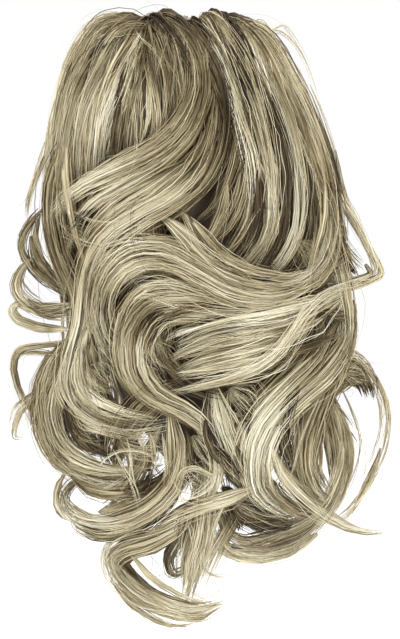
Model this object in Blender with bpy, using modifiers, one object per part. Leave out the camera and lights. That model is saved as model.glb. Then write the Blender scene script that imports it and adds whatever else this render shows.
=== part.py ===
"""Claw-clip ponytail hairpiece: wavy hair on wefts that are sewn round the two jaws of a claw clip.

Metres, +Z up. The piece hangs as it is worn: -Y is the side that shows, +Y faces the wearer's head,
and the origin is the centre of the clip's hollow, where the clip grips the wearer's own hair.
"""

import math

import bmesh
import bpy
from mathutils import Matrix, Vector

# The hair, and the chart that it is drawn on: a grid laid over the front view.
HAIR_LENGTH = 0.350
HAIR_WIDTH = 0.228
FRONT_DEPTH = 0.060
BACK_DEPTH = 0.034
CHART_DOWN = 612
CHART_ACROSS = 400
CHART_TOP = 8
CHART_CENTRE = 196

# The claw clip
CLIP_BELOW_TOP = 0.044
CLIP_LENGTH = 0.084
CLIP_HALF_DEPTH = 0.017
CLIP_HALF_HEIGHT = 0.020
CLIP_WALL = 0.0024
SPINE_RADIUS = 0.0038
JAW_FROM = 8.0
PALM_ANGLE = 118.0
TOOTH_ANGLE = 188.0
TOOTH_COUNT = 6
TOOTH_WIDTH = 0.0060
TOOTH_TIP = 0.0032
TOOTH_INSET = 0.0008
TAB_LENGTH = 0.022
TAB_REACH = 0.013
TAB_WALL = 0.0026
TAB_ANGLE = 34.0
TAB_LEAN = 48.0

# The wefts, and the room that they leave for the clip
CLEARANCE = 0.0004
BUNDLE_GAP = 0.0008
END_ROOM = 0.006
BUN_ROOM = 0.015
BACKING_THICKNESS = 0.004
BACKING_OVERHANG = 0.003
BACKING_FROM = 52.0
BACKING_TO = 122.0

# How finely the locks are drawn, and meshed once they are fused
LOCK_STEP = 0.006
GRAIN = 0.0022
LEFT_FACES = 1500
RIGHT_FACES = 2700
UNDER_FACES = 3500

DOWN = 1

# The hair's outline, a row for each height: where that is on the chart, the left and right edges there,
# and how far the hair stands out in front and behind, as shares of FRONT_DEPTH and BACK_DEPTH.
OUTLINE = (
    {"down": 8, "left": 120, "right": 250, "front": 0.30, "back": 0.34},
    {"down": 22, "left": 90, "right": 272, "front": 0.48, "back": 0.50},
    {"down": 48, "left": 68, "right": 294, "front": 0.66, "back": 0.60},
    {"down": 90, "left": 54, "right": 312, "front": 0.82, "back": 0.68},
    {"down": 150, "left": 44, "right": 336, "front": 0.93, "back": 0.84},
    {"down": 220, "left": 42, "right": 352, "front": 1.00, "back": 1.00},
    {"down": 300, "left": 48, "right": 358, "front": 1.00, "back": 1.00},
    {"down": 380, "left": 46, "right": 362, "front": 0.97, "back": 0.94},
    {"down": 450, "left": 54, "right": 358, "front": 0.88, "back": 0.86},
    {"down": 510, "left": 78, "right": 330, "front": 0.76, "back": 0.74},
    {"down": 560, "left": 112, "right": 276, "front": 0.60, "back": 0.58},
    {"down": 620, "left": 140, "right": 220, "front": 0.42, "back": 0.40},
)
EDGE_BULGE = 0.22

# The packed hair under the locks stands this share of the way out to them.
CORE_SHARE = 0.90
CORE_FROM = 22
CORE_TO = 548
CORE_RIDGES = 13
CORE_RIPPLE = 0.045
CORE_TAPER = 0.30

# The locks, a row each, by the weft that they are sewn to. "wide" and "thick" are chart squares. A
# route's stops are (across, down, out): out is 1 on the hair's outer surface and 0 at the clip's plane.
LEFT_WEFT = (
    {
        "wide": 17,
        "thick": 9,
        "route": (
            (126, 13, 1.0), (97, 18, 1.0), (75, 38, 1.0), (60, 70, 1.0), (49, 110, 1.0), (43, 152, 1.0),
            (42, 192, 0.93), (47, 232, 0.85),
        ),
    },
    {
        "wide": 22,
        "thick": 10,
        "route": (
            (131, 14, 1.0), (106, 25, 1.0), (86, 54, 1.0), (70, 92, 1.0), (61, 132, 1.0),
            (57, 172, 0.97), (62, 212, 0.84),
        ),
    },
    {
        "wide": 24,
        "thick": 10,
        "route": (
            (136, 17, 1.0), (117, 37, 1.0), (100, 70, 1.0), (86, 107, 1.0), (78, 147, 1.0),
            (76, 192, 0.84),
        ),
    },
    {
        "wide": 24,
        "thick": 10,
        "route": (
            (140, 19, 1.0), (127, 48, 1.0), (114, 85, 1.0), (104, 122, 1.0), (98, 172, 0.84),
        ),
    },
    {
        "wide": 20,
        "thick": 9,
        "route": (
            (144, 18, 1.0), (139, 50, 1.0), (134, 90, 0.98), (131, 128, 0.96), (130, 168, 0.84),
        ),
    },
    {
        "wide": 20,
        "thick": 9,
        "route": (
            (149, 17, 1.0), (153, 50, 1.0), (155, 90, 0.98), (153, 130, 0.96), (148, 170, 0.84),
        ),
    },
)
RIGHT_WEFT = (
    {
        "wide": 20,
        "thick": 9,
        "route": (
            (157, 14, 1.0), (170, 40, 0.97), (177, 75, 0.95), (177, 110, 0.93), (168, 150, 0.84),
        ),
    },
    {
        "wide": 20,
        "thick": 10,
        "route": (
            (176, 13, 1.0), (190, 36, 1.0), (200, 66, 1.02), (199, 98, 1.04), (184, 129, 1.06),
            (152, 156, 1.07), (112, 174, 1.07), (76, 192, 1.05), (55, 213, 1.02), (49, 238, 1.0),
            (55, 266, 0.98), (66, 294, 0.88),
        ),
    },
    {
        "wide": 16,
        "thick": 9,
        "route": (
            (192, 16, 1.0), (205, 48, 1.0), (208, 84, 1.0), (200, 120, 1.02), (180, 150, 1.04),
            (150, 171, 1.04), (118, 187, 1.03), (92, 204, 0.88),
        ),
    },
    {
        "wide": 26,
        "thick": 12,
        "route": (
            (200, 14, 1.0), (214, 60, 0.96), (219, 100, 0.96), (214, 140, 0.98), (198, 175, 1.02),
            (170, 200, 1.05), (138, 217, 1.06), (110, 237, 1.06), (93, 263, 1.05), (85, 293, 1.04),
            (80, 325, 1.02), (71, 355, 1.0), (67, 382, 1.0), (77, 405, 1.02), (102, 421, 1.04),
            (137, 430, 1.04), (172, 424, 1.02),
        ),
    },
    {
        "wide": 18,
        "thick": 10,
        "route": (
            (206, 13, 1.0), (218, 48, 1.0), (230, 86, 1.0), (241, 126, 1.0), (250, 166, 1.0),
            (250, 202, 1.0), (239, 232, 0.96), (219, 254, 0.86),
        ),
    },
    {
        "wide": 24,
        "thick": 11,
        "route": (
            (216, 12, 1.0), (232, 46, 1.0), (247, 86, 1.0), (259, 126, 1.0), (267, 166, 1.0),
            (268, 206, 1.0), (260, 241, 1.0), (240, 268, 0.95), (214, 282, 0.86),
        ),
    },
    {
        "wide": 22,
        "thick": 11,
        "route": (
            (234, 14, 1.0), (254, 45, 1.0), (272, 85, 1.0), (287, 123, 1.0), (298, 162, 1.0),
            (302, 202, 1.0), (297, 236, 1.0), (282, 264, 0.96), (257, 281, 0.88),
        ),
    },
    {
        "wide": 20,
        "thick": 10,
        "route": (
            (242, 16, 1.0), (267, 42, 1.0), (289, 80, 1.0), (306, 120, 1.0), (318, 160, 1.0),
            (326, 200, 1.0), (327, 237, 1.0), (315, 267, 1.02), (290, 286, 1.03), (258, 294, 1.05),
        ),
    },
    {
        "wide": 15,
        "thick": 9,
        "route": (
            (248, 17, 1.0), (275, 35, 1.0), (293, 63, 1.0), (308, 99, 1.0), (323, 134, 1.0),
            (336, 171, 0.98), (347, 207, 0.95), (361, 237, 0.9), (375, 261, 0.9), (372, 277, 0.95),
            (350, 285, 1.0), (322, 297, 1.05), (301, 316, 1.08), (286, 340, 1.10), (262, 364, 1.10),
            (230, 380, 1.10), (198, 388, 1.08), (170, 394, 1.0),
        ),
    },
    {
        "wide": 28,
        "thick": 12,
        "route": (
            (322, 272, 1.02), (297, 291, 1.05), (262, 298, 1.08), (226, 290, 1.09), (196, 272, 1.09),
            (165, 256, 1.09), (135, 256, 1.09), (113, 270, 1.08), (101, 293, 1.06), (99, 318, 1.04),
            (107, 342, 1.02), (126, 357, 1.0),
        ),
    },
    {
        "wide": 20,
        "thick": 11,
        "route": (
            (318, 296, 1.03), (290, 304, 1.06), (252, 308, 1.07), (215, 306, 1.07), (180, 300, 1.06),
            (150, 306, 1.05), (132, 326, 1.04), (126, 352, 1.03), (130, 378, 1.03), (146, 397, 1.04),
            (175, 411, 1.05), (200, 426, 1.04), (214, 448, 1.0), (214, 470, 0.96),
        ),
    },
    {
        "wide": 34,
        "thick": 11,
        "route": (
            (344, 296, 0.96), (312, 310, 1.02), (278, 322, 1.04), (240, 326, 1.05), (205, 333, 1.04),
            (174, 346, 1.0),
        ),
    },
    {
        "wide": 34,
        "thick": 11,
        "route": (
            (300, 330, 1.03), (268, 348, 1.05), (235, 358, 1.06), (203, 364, 1.05), (176, 374, 1.0),
        ),
    },
)
UNDER_WEFT = (
    {
        "wide": 30,
        "thick": 14,
        "route": (
            (76, 118, 0.88), (60, 165, 0.94), (55, 210, 0.95), (62, 250, 0.96), (78, 288, 0.96),
            (80, 326, 0.96), (68, 366, 0.92),
        ),
    },
    {
        "wide": 28,
        "thick": 14,
        "route": (
            (306, 140, 0.88), (326, 190, 0.92), (338, 238, 0.92), (346, 288, 0.92), (348, 332, 0.95),
            (334, 380, 0.95),
        ),
    },
    {
        "wide": 34,
        "thick": 14,
        "route": (
            (172, 172, 0.88), (148, 212, 0.94), (152, 248, 0.96), (178, 282, 0.96), (196, 316, 0.92),
        ),
    },
    {
        "wide": 34,
        "thick": 14,
        "route": (
            (184, 380, 0.92), (150, 402, 0.96), (122, 436, 0.96), (112, 474, 0.90),
        ),
    },
    {
        "wide": 8,
        "thick": 7,
        "route": (
            (46, 205, 0.8), (28, 226, 0.6), (21, 246, 0.5), (28, 265, 0.55), (45, 282, 0.7),
            (66, 294, 0.85),
        ),
    },
    {
        "wide": 12,
        "thick": 7,
        "route": (
            (44, 246, 0.8), (21, 268, 0.5), (14, 286, 0.45), (24, 301, 0.5), (44, 311, 0.65),
            (70, 316, 0.85),
        ),
    },
    {
        "wide": 7,
        "thick": 6,
        "route": (
            (72, 330, 0.85), (42, 329, 0.55), (19, 321, 0.4), (11, 310, 0.35), (19, 304, 0.4),
            (34, 309, 0.5), (62, 305, 0.85),
        ),
    },
    {
        "wide": 7,
        "thick": 6,
        "route": (
            (72, 342, 0.85), (38, 346, 0.6), (19, 351, 0.5), (13, 366, 0.5), (17, 386, 0.5),
            (30, 411, 0.6), (46, 437, 0.75), (64, 460, 0.85),
        ),
    },
    {
        "wide": 24,
        "thick": 16,
        "route": (
            (70, 336, 0.8), (45, 362, 0.75), (34, 395, 0.75), (39, 430, 0.8), (55, 457, 0.85),
            (80, 476, 0.9), (110, 485, 0.9), (140, 486, 0.85),
        ),
    },
    {
        "wide": 20,
        "thick": 14,
        "route": (
            (74, 350, 0.9), (57, 385, 0.9), (53, 415, 0.9), (61, 442, 0.95), (80, 460, 0.97),
            (106, 469, 0.97), (136, 470, 0.95), (162, 462, 0.9),
        ),
    },
    {
        "wide": 17,
        "thick": 13,
        "route": (
            (178, 425, 0.9), (181, 455, 1.0), (173, 485, 1.04), (151, 508, 1.04), (120, 521, 1.0),
            (90, 522, 0.95), (68, 509, 0.85), (61, 490, 0.75), (68, 474, 0.7),
        ),
    },
    {
        "wide": 12,
        "thick": 10,
        "route": (
            (172, 505, 0.9), (136, 528, 0.95), (105, 536, 0.93), (80, 529, 0.88), (72, 515, 0.8),
        ),
    },
    {
        "wide": 24,
        "thick": 13,
        "route": (
            (200, 495, 0.9), (182, 523, 1.0), (154, 541, 1.0), (124, 549, 0.98), (108, 561, 0.92),
            (113, 580, 0.9), (131, 597, 0.92), (159, 608, 0.95), (190, 611, 0.95), (214, 606, 0.9),
        ),
    },
    {
        "wide": 6,
        "thick": 5,
        "route": (
            (124, 549, 0.95), (137, 562, 0.95), (151, 577, 0.95), (171, 590, 0.95), (193, 600, 0.95),
            (214, 604, 0.9),
        ),
    },
    {
        "wide": 22,
        "thick": 14,
        "route": (
            (205, 465, 0.85), (208, 505, 0.98), (205, 540, 1.0), (198, 572, 1.0), (192, 600, 0.95),
        ),
    },
    {
        "wide": 12,
        "thick": 9,
        "route": (
            (186, 510, 0.6), (171, 543, 0.6), (161, 559, 0.6), (168, 573, 0.6), (181, 568, 0.6),
            (190, 553, 0.7),
        ),
    },
    {
        "wide": 32,
        "thick": 14,
        "route": (
            (352, 300, 0.85), (346, 338, 0.92), (323, 372, 0.98), (291, 400, 1.02), (266, 427, 1.06),
            (254, 458, 1.06), (257, 487, 1.03), (277, 508, 1.0), (302, 520, 0.9),
        ),
    },
    {
        "wide": 22,
        "thick": 13,
        "route": (
            (354, 325, 0.85), (339, 364, 0.9), (323, 400, 0.95), (313, 432, 0.98), (309, 460, 0.98),
            (316, 486, 0.95), (332, 502, 0.9),
        ),
    },
    {
        "wide": 14,
        "thick": 9,
        "route": (
            (270, 438, 1.04), (280, 470, 1.05), (300, 494, 1.05), (324, 513, 1.0), (345, 526, 0.9),
            (366, 533, 0.75), (388, 533, 0.6),
        ),
    },
    {
        "wide": 11,
        "thick": 9,
        "route": (
            (340, 340, 0.7), (374, 371, 0.55), (390, 405, 0.45), (388, 442, 0.45), (374, 478, 0.5),
            (350, 510, 0.6), (318, 536, 0.75), (282, 552, 0.85), (248, 557, 0.9), (220, 545, 0.88),
        ),
    },
    {
        "wide": 18,
        "thick": 12,
        "route": (
            (320, 395, 0.85), (348, 422, 0.8), (356, 454, 0.75), (349, 487, 0.75), (329, 514, 0.8),
            (299, 536, 0.85), (262, 546, 0.87), (232, 536, 0.85),
        ),
    },
    {
        "wide": 17,
        "thick": 10,
        "route": (
            (322, 400, 0.85), (336, 376, 0.85), (353, 363, 0.8), (370, 373, 0.7), (378, 390, 0.65),
        ),
    },
    {
        "wide": 24,
        "thick": 13,
        "route": (
            (213, 380, 0.9), (219, 415, 0.98), (228, 445, 1.0), (243, 473, 1.0), (264, 495, 0.95),
        ),
    },
    {
        "wide": 16,
        "thick": 11,
        "route": (
            (262, 485, 1.0), (230, 499, 1.04), (197, 508, 1.05), (170, 521, 1.02), (150, 536, 0.95),
        ),
    },
)

# The head side's locks follow one rule: evenly spaced waves that end in a curl, from the lower jaw.
BACK_LOCKS = 9
BACK_FROM = 128
BACK_WAVES = 1.9
BACK_SWING = 15
BACK_CURL = 24
BACK_WIDE = 34
BACK_THICK = 15


def clear_scene():
    for item in list(bpy.data.objects):
        bpy.data.objects.remove(item)


def new_collection(name):
    made = bpy.data.collections.new(name)
    bpy.context.scene.collection.children.link(made)
    return made


def new_material(name, colour, roughness):
    made = bpy.data.materials.new(name)
    made.use_nodes = True
    shader = made.node_tree.nodes["Principled BSDF"]
    shader.inputs["Base Color"].default_value = (*colour, 1.0)
    shader.inputs["Roughness"].default_value = roughness
    shader.inputs["Metallic"].default_value = 0.0
    return made


def mesh_object(name, points, faces, collection):
    """A closed mesh with its faces out, whichever way its sections were walked."""
    mesh = bpy.data.meshes.new(name)
    mesh.from_pydata([tuple(point) for point in points], [], faces)
    work = bmesh.new()
    work.from_mesh(mesh)
    bmesh.ops.recalc_face_normals(work, faces=work.faces)
    work.to_mesh(mesh)
    work.free()
    made = bpy.data.objects.new(name, mesh)
    collection.objects.link(made)
    return made


def move_to(item, collection):
    for held in list(item.users_collection):
        held.objects.unlink(item)
    collection.objects.link(item)


def square():
    """The size of one chart square, for a lock's width and thickness."""
    return HAIR_WIDTH / CHART_ACROSS


def outline_at(down):
    """The outline at a height on the chart, read between its rows."""
    if down <= OUTLINE[0]["down"]:
        return OUTLINE[0]
    for above, below in zip(OUTLINE, OUTLINE[1:]):
        if down <= below["down"]:
            share = (down - above["down"]) / (below["down"] - above["down"])
            return {key: above[key] + (below[key] - above[key]) * share for key in above}
    return OUTLINE[-1]


def chart_x(across):
    return (across - CHART_CENTRE) * HAIR_WIDTH / CHART_ACROSS


def chart_z(down):
    return CLIP_BELOW_TOP - (down - CHART_TOP) * HAIR_LENGTH / CHART_DOWN


def chart_place(across, down, out, behind=False):
    """The point of a charted stop. The hair bulges most along its middle and least at its edges."""
    row = outline_at(down)
    half = (row["right"] - row["left"]) / 2
    side = (across - (row["right"] + row["left"]) / 2) / half
    bulge = max(math.sqrt(max(0.0, 1 - side * side)), EDGE_BULGE)
    depth = BACK_DEPTH * row["back"] if behind else -FRONT_DEPTH * row["front"]
    return Vector((chart_x(across), depth * bulge * out, chart_z(down)))


def smooth_route(stops, spacing):
    """Points along a smooth curve through the stops, about one every spacing."""
    ends = [stops[0] * 2 - stops[1], *stops, stops[-1] * 2 - stops[-2]]
    route = []
    for a, b, c, d in zip(ends, ends[1:], ends[2:], ends[3:]):
        steps = max(1, round((c - b).length / spacing))
        for step in range(steps):
            t = step / steps
            bend = (2 * a - 5 * b + 4 * c - d) * t**2 + (3 * b - a - 3 * c + d) * t**3
            route.append(0.5 * (2 * b + (c - a) * t + bend))
    route.append(stops[-1])
    return route


def lock_swell(share):
    """How full a lock is along its length: gathered at the root, drawn to a tip at the end."""
    return min(1.0, 0.55 + 2.2 * share, 0.34 + 2.6 * (1 - share))


def loft_lock(stops, wide, thick, facing, collection):
    """A flattened, tapering lock along its stops, with its broad side towards facing."""
    sides = 8
    route = smooth_route(stops, LOCK_STEP)
    face = facing
    points, last = [], len(route) - 1
    for index, here in enumerate(route):
        along = (route[min(index + 1, last)] - route[max(index - 1, 0)]).normalized()
        face = face + 0.5 * facing
        face = (face - along * face.dot(along)).normalized()
        broad = along.cross(face)
        swell = lock_swell(index / last)
        for side in range(sides):
            turn = 2 * math.pi * (side + 0.5) / sides
            reach = broad * math.cos(turn) * wide + face * math.sin(turn) * thick
            points.append(here + reach * swell / 2)
    faces = [tuple(range(sides)), tuple(range(last * sides, (last + 1) * sides))]
    for ring in range(last):
        for side in range(sides):
            a, b = ring * sides + side, ring * sides + (side + 1) % sides
            faces.append((a, b, b + sides, a + sides))
    return mesh_object("lock", points, faces, collection)


def jaw_point(angle, side, offset):
    """A point of the clip's oval, from the spine at the front (0) round to the teeth (180).

    side is 1 for the upper jaw and -1 for the lower, and offset is measured from the jaw's middle.
    """
    turn = math.radians(angle)
    y = -(CLIP_HALF_DEPTH + offset) * math.cos(turn)
    return (y, side * (CLIP_HALF_HEIGHT + offset) * math.sin(turn))


def backing_offset():
    return CLIP_WALL / 2 + CLEARANCE + BACKING_THICKNESS / 2


def backing_half():
    return CLIP_LENGTH / 2 - BACKING_OVERHANG


def root_stop(first, side):
    """Where a lock leaves the backing, under its first stop and within the clip's length."""
    across = max(-backing_half(), min(backing_half(), first.x))
    y, z = jaw_point(90.0, side, backing_offset())
    return Vector((across, y, z))


def charted_locks(rows, collection):
    """The lofted locks of one weft's rows."""
    made = []
    for row in rows:
        stops = [chart_place(*stop) for stop in row["route"]]
        if row["route"][0][DOWN] < CORE_FROM:
            stops.insert(0, root_stop(stops[0], 1))
        sizes = (row["wide"] * square(), row["thick"] * square())
        made.append(loft_lock(stops, *sizes, Vector((0, -1, 0)), collection))
    return made


def back_locks(collection):
    """The head side's locks: a root on the lower jaw, waves, and a curled tip."""
    made = []
    for index in range(BACK_LOCKS):
        share = (index + 0.5) / BACK_LOCKS
        length = 540 - 90 * abs(2 * share - 1) - 30 * (index % 2)
        stops = []
        for step in range(10):
            along = step / 9
            down = BACK_FROM + along * (length - BACK_FROM)
            row = outline_at(down)
            base = row["left"] + (row["right"] - row["left"]) * (0.07 + 0.86 * share)
            wave = 2 * math.pi * BACK_WAVES * along + 1.3 * index
            across = base + BACK_SWING * along * math.sin(wave)
            across += BACK_CURL * max(0.0, along - 0.8) / 0.2 * (1 if index % 2 else -1)
            stops.append(chart_place(across, down, 1.0 + 0.08 * along * math.cos(wave), behind=True))
        stops.insert(0, root_stop(stops[0], -1))
        sizes = (BACK_WIDE * square(), BACK_THICK * square())
        made.append(loft_lock(stops, *sizes, Vector((0, 1, 0)), collection))
    return made


def core_swell(share):
    """The core's fullness from its top (0) to its rounded bottom end (1)."""
    fall = max(0.0, (share - 1 + CORE_TAPER) / CORE_TAPER)
    return min(1.0, 0.74 + 3.2 * share) * math.sqrt(1 - 0.88 * fall**2)


def loft_core(collection):
    """The packed hair under the locks: one rippled column, fuller in front than behind."""
    rows, sides = 22, 78
    points = []
    for ring in range(rows):
        share = ring / (rows - 1)
        down = CORE_FROM + (CORE_TO - CORE_FROM) * share
        row = outline_at(down)
        end = CORE_SHARE * core_swell(share)
        middle = chart_x((row["right"] + row["left"]) / 2)
        half = (row["right"] - row["left"]) / 2 * square()
        for step in range(sides):
            turn = 2 * math.pi * step / sides
            ripple = 1 + CORE_RIPPLE * math.sin(CORE_RIDGES * turn + 1.8 * math.sin(5.5 * math.pi * share))
            depth = FRONT_DEPTH * row["front"] if math.sin(turn) > 0 else BACK_DEPTH * row["back"]
            x = middle + half * end * ripple * math.cos(turn)
            points.append((x, -depth * end * ripple * math.sin(turn), chart_z(down)))
    faces = [tuple(range(sides)), tuple(range((rows - 1) * sides, rows * sides))]
    for ring in range(rows - 1):
        for step in range(sides):
            a, b = ring * sides + step, ring * sides + (step + 1) % sides
            faces.append((a, b, b + sides, a + sides))
    return mesh_object("core", points, faces, collection)


def loft_backing(side, left, right, collection):
    """The sewn strip over one jaw that the locks of a weft leave from."""
    middle, steps = backing_offset(), 8
    points = []
    for step in range(steps + 1):
        angle = BACKING_FROM + (BACKING_TO - BACKING_FROM) * step / steps
        for offset in (middle - BACKING_THICKNESS / 2, middle + BACKING_THICKNESS / 2):
            y, z = jaw_point(angle, side, offset)
            points += [(left, y, z), (right, y, z)]
    ring = (0, 1, 3, 2)
    faces = [ring, tuple(steps * 4 + corner for corner in ring)]
    for step in range(steps):
        for a, b in zip(ring, ring[1:] + ring[:1]):
            faces.append((step * 4 + a, step * 4 + 4 + a, step * 4 + 4 + b, step * 4 + b))
    return mesh_object("backing", points, faces, collection)


def jaw_shell(side, collection):
    """One jaw: a curved palm whose far edge runs out into tapering teeth, as an open sheet."""
    pitch = (CLIP_LENGTH - TOOTH_WIDTH - 2 * TOOTH_INSET) / (TOOTH_COUNT - 0.5)
    first = (TOOTH_WIDTH - CLIP_LENGTH) / 2 + TOOTH_INSET + (0.0 if side > 0 else pitch / 2)
    edges = [-CLIP_LENGTH / 2]
    for tooth in range(TOOTH_COUNT):
        middle = first + tooth * pitch
        edges += [middle - TOOTH_WIDTH / 2, middle + TOOTH_WIDTH / 2]
    edges.append(CLIP_LENGTH / 2)
    palm_steps, tooth_steps = 12, 8
    points, faces = [], []
    for step in range(palm_steps + 1):
        y, z = jaw_point(JAW_FROM + (PALM_ANGLE - JAW_FROM) * step / palm_steps, side, 0.0)
        points += [(x, y, z) for x in edges]
    for step in range(palm_steps):
        for column in range(len(edges) - 1):
            a = step * len(edges) + column
            faces.append((a, a + 1, a + 1 + len(edges), a + len(edges)))
    for tooth in range(TOOTH_COUNT):
        left = palm_steps * len(edges) + 1 + 2 * tooth
        near = (left, left + 1)
        middle = (points[left][0] + points[left + 1][0]) / 2
        for step in range(1, tooth_steps + 1):
            share = step / tooth_steps
            y, z = jaw_point(PALM_ANGLE + (TOOTH_ANGLE - PALM_ANGLE) * share, side, 0.0)
            half = (TOOTH_WIDTH + (TOOTH_TIP - TOOTH_WIDTH) * share) / 2
            far = (len(points), len(points) + 1)
            points += [(middle - half, y, z), (middle + half, y, z)]
            faces.append((near[0], near[1], far[1], far[0]))
            near = far
    shell = mesh_object("jaw", points, faces, collection)
    wall = shell.modifiers.new("wall", "SOLIDIFY")
    wall.thickness = CLIP_WALL
    wall.offset = 0.0
    wall.use_even_offset = True
    return shell


def clip_tab(side, grow, collection):
    """The lever that a finger presses, on the spine's side of a jaw. grow makes its room in the hair."""
    y, z = jaw_point(TAB_ANGLE, side, 0.0)
    lean = math.radians(TAB_LEAN)
    bpy.ops.mesh.primitive_cube_add(size=1)
    tab = bpy.context.active_object
    tab.name = "tab"
    size = (TAB_LENGTH + 2 * grow, TAB_REACH + 2 * grow, TAB_WALL + 2 * grow)
    tab.data.transform(Matrix.Diagonal((*size, 1.0)))
    tab.location = (0, y - TAB_REACH / 2 * math.cos(lean), z + side * TAB_REACH / 2 * math.sin(lean))
    tab.rotation_euler.x = -side * lean
    move_to(tab, collection)
    return tab


def clip_spine(collection):
    bpy.ops.mesh.primitive_cylinder_add(vertices=20, radius=SPINE_RADIUS, depth=CLIP_LENGTH)
    spine = bpy.context.active_object
    spine.name = "spine"
    spine.rotation_euler.y = math.pi / 2
    spine.location.y = -CLIP_HALF_DEPTH
    move_to(spine, collection)
    return spine


def room_tube(collection):
    """The clip's oval with its clearance, a little longer than the clip."""
    room = CLIP_WALL / 2 + CLEARANCE
    half = CLIP_LENGTH / 2 + END_ROOM
    sides = 36
    points = []
    for x in (-half, half):
        for step in range(sides):
            y, z = jaw_point(360 * step / sides, 1, room)
            points.append((x, y / math.cos(math.pi / sides), z / math.cos(math.pi / sides)))
    faces = [tuple(range(sides)), tuple(range(sides, 2 * sides))]
    faces += [(i, i + sides, (i + 1) % sides + sides, (i + 1) % sides) for i in range(sides)]
    return mesh_object("clip_room", points, faces, collection)


def room_box(name, low, high, collection):
    bpy.ops.mesh.primitive_cube_add(size=1)
    box = bpy.context.active_object
    box.name = name
    size = [b - a for a, b in zip(low, high)]
    box.data.transform(Matrix.Diagonal((*size, 1.0)))
    box.location = [(a + b) / 2 for a, b in zip(low, high)]
    move_to(box, collection)
    return box


def clip_rooms(collection):
    """What the hair leaves open: round the clip, its spine and tabs, and where the bun goes in behind."""
    half = CLIP_LENGTH / 2 + END_ROOM
    spine = SPINE_RADIUS + CLEARANCE
    return [
        room_tube(collection),
        room_box("bun_room", (-half, 0, -BUN_ROOM), (half, HAIR_WIDTH, BUN_ROOM), collection),
        room_box("spine_room", (-half, -CLIP_HALF_DEPTH - spine, -spine), (half, 0, spine), collection),
        clip_tab(1, CLEARANCE, collection),
        clip_tab(-1, CLEARANCE, collection),
    ]


def evaluated_mesh(item):
    """The object's mesh as its modifiers leave it, in world space."""
    graph = bpy.context.evaluated_depsgraph_get()
    mesh = bpy.data.meshes.new_from_object(item.evaluated_get(graph))
    mesh.transform(item.matrix_world)
    return mesh


def largest_body(mesh):
    """Only the mesh's largest closed body stays, without trapped bubbles or cut-off crumbs."""
    work = bmesh.new()
    work.from_mesh(mesh)
    left = set(work.faces)
    bodies = []
    while left:
        body, queue = [], [left.pop()]
        while queue:
            face = queue.pop()
            body.append(face)
            for edge in face.edges:
                for other in edge.link_faces:
                    if len(edge.link_faces) == 2 and other in left:
                        left.discard(other)
                        queue.append(other)
        bodies.append(body)
    bodies.sort(key=len)
    for body in bodies[:-1]:
        bmesh.ops.delete(work, geom=body, context="FACES")
    work.to_mesh(mesh)
    work.free()


def joined(items, name, collection):
    """One object that holds all the items' meshes, still as separate overlapping bodies."""
    bpy.context.view_layer.update()
    work = bmesh.new()
    for item in items:
        mesh = evaluated_mesh(item)
        work.from_mesh(mesh)
        bpy.data.objects.remove(item)
        bpy.data.meshes.remove(mesh)
    whole = bpy.data.meshes.new(name)
    work.to_mesh(whole)
    work.free()
    made = bpy.data.objects.new(name, whole)
    collection.objects.link(made)
    return made


def settled(item):
    """The item as a plain mesh of one body, with its modifiers applied."""
    bpy.context.view_layer.update()
    mesh = evaluated_mesh(item)
    item.modifiers.clear()
    item.data = mesh
    item.matrix_world = Matrix.Identity(4)
    largest_body(mesh)
    return item


def fused_hair(items, name, faces, material, collection):
    """Locks, core and backing fused into one body of about that many faces."""
    hair = joined(items, name, collection)
    fuse = hair.modifiers.new("fuse", "REMESH")
    fuse.mode = "VOXEL"
    fuse.voxel_size = GRAIN
    settled(hair)
    thin = hair.modifiers.new("thin", "DECIMATE")
    thin.ratio = faces / (2 * len(hair.data.polygons))
    settled(hair)
    hair.data.materials.clear()
    hair.data.materials.append(material)
    return hair


def add_boolean(item, operation, other, solver="EXACT"):
    modifier = item.modifiers.new(operation.lower(), "BOOLEAN")
    modifier.operation = operation
    modifier.solver = solver
    modifier.object = other


def grown_copy(item, gap, collection):
    """A cutter: the item grown by a gap all over."""
    copy = item.copy()
    copy.data = item.data.copy()
    copy.name = item.name + "_room"
    collection.objects.link(copy)
    grow = copy.modifiers.new("grow", "DISPLACE")
    grow.strength = gap
    grow.mid_level = 0.0
    return copy


def finish(item, material):
    item.data.name = item.name
    item.data.materials.clear()
    item.data.materials.append(material)
    item.data.shade_smooth()
    item.data.set_sharp_from_angle(angle=math.radians(40))


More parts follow.
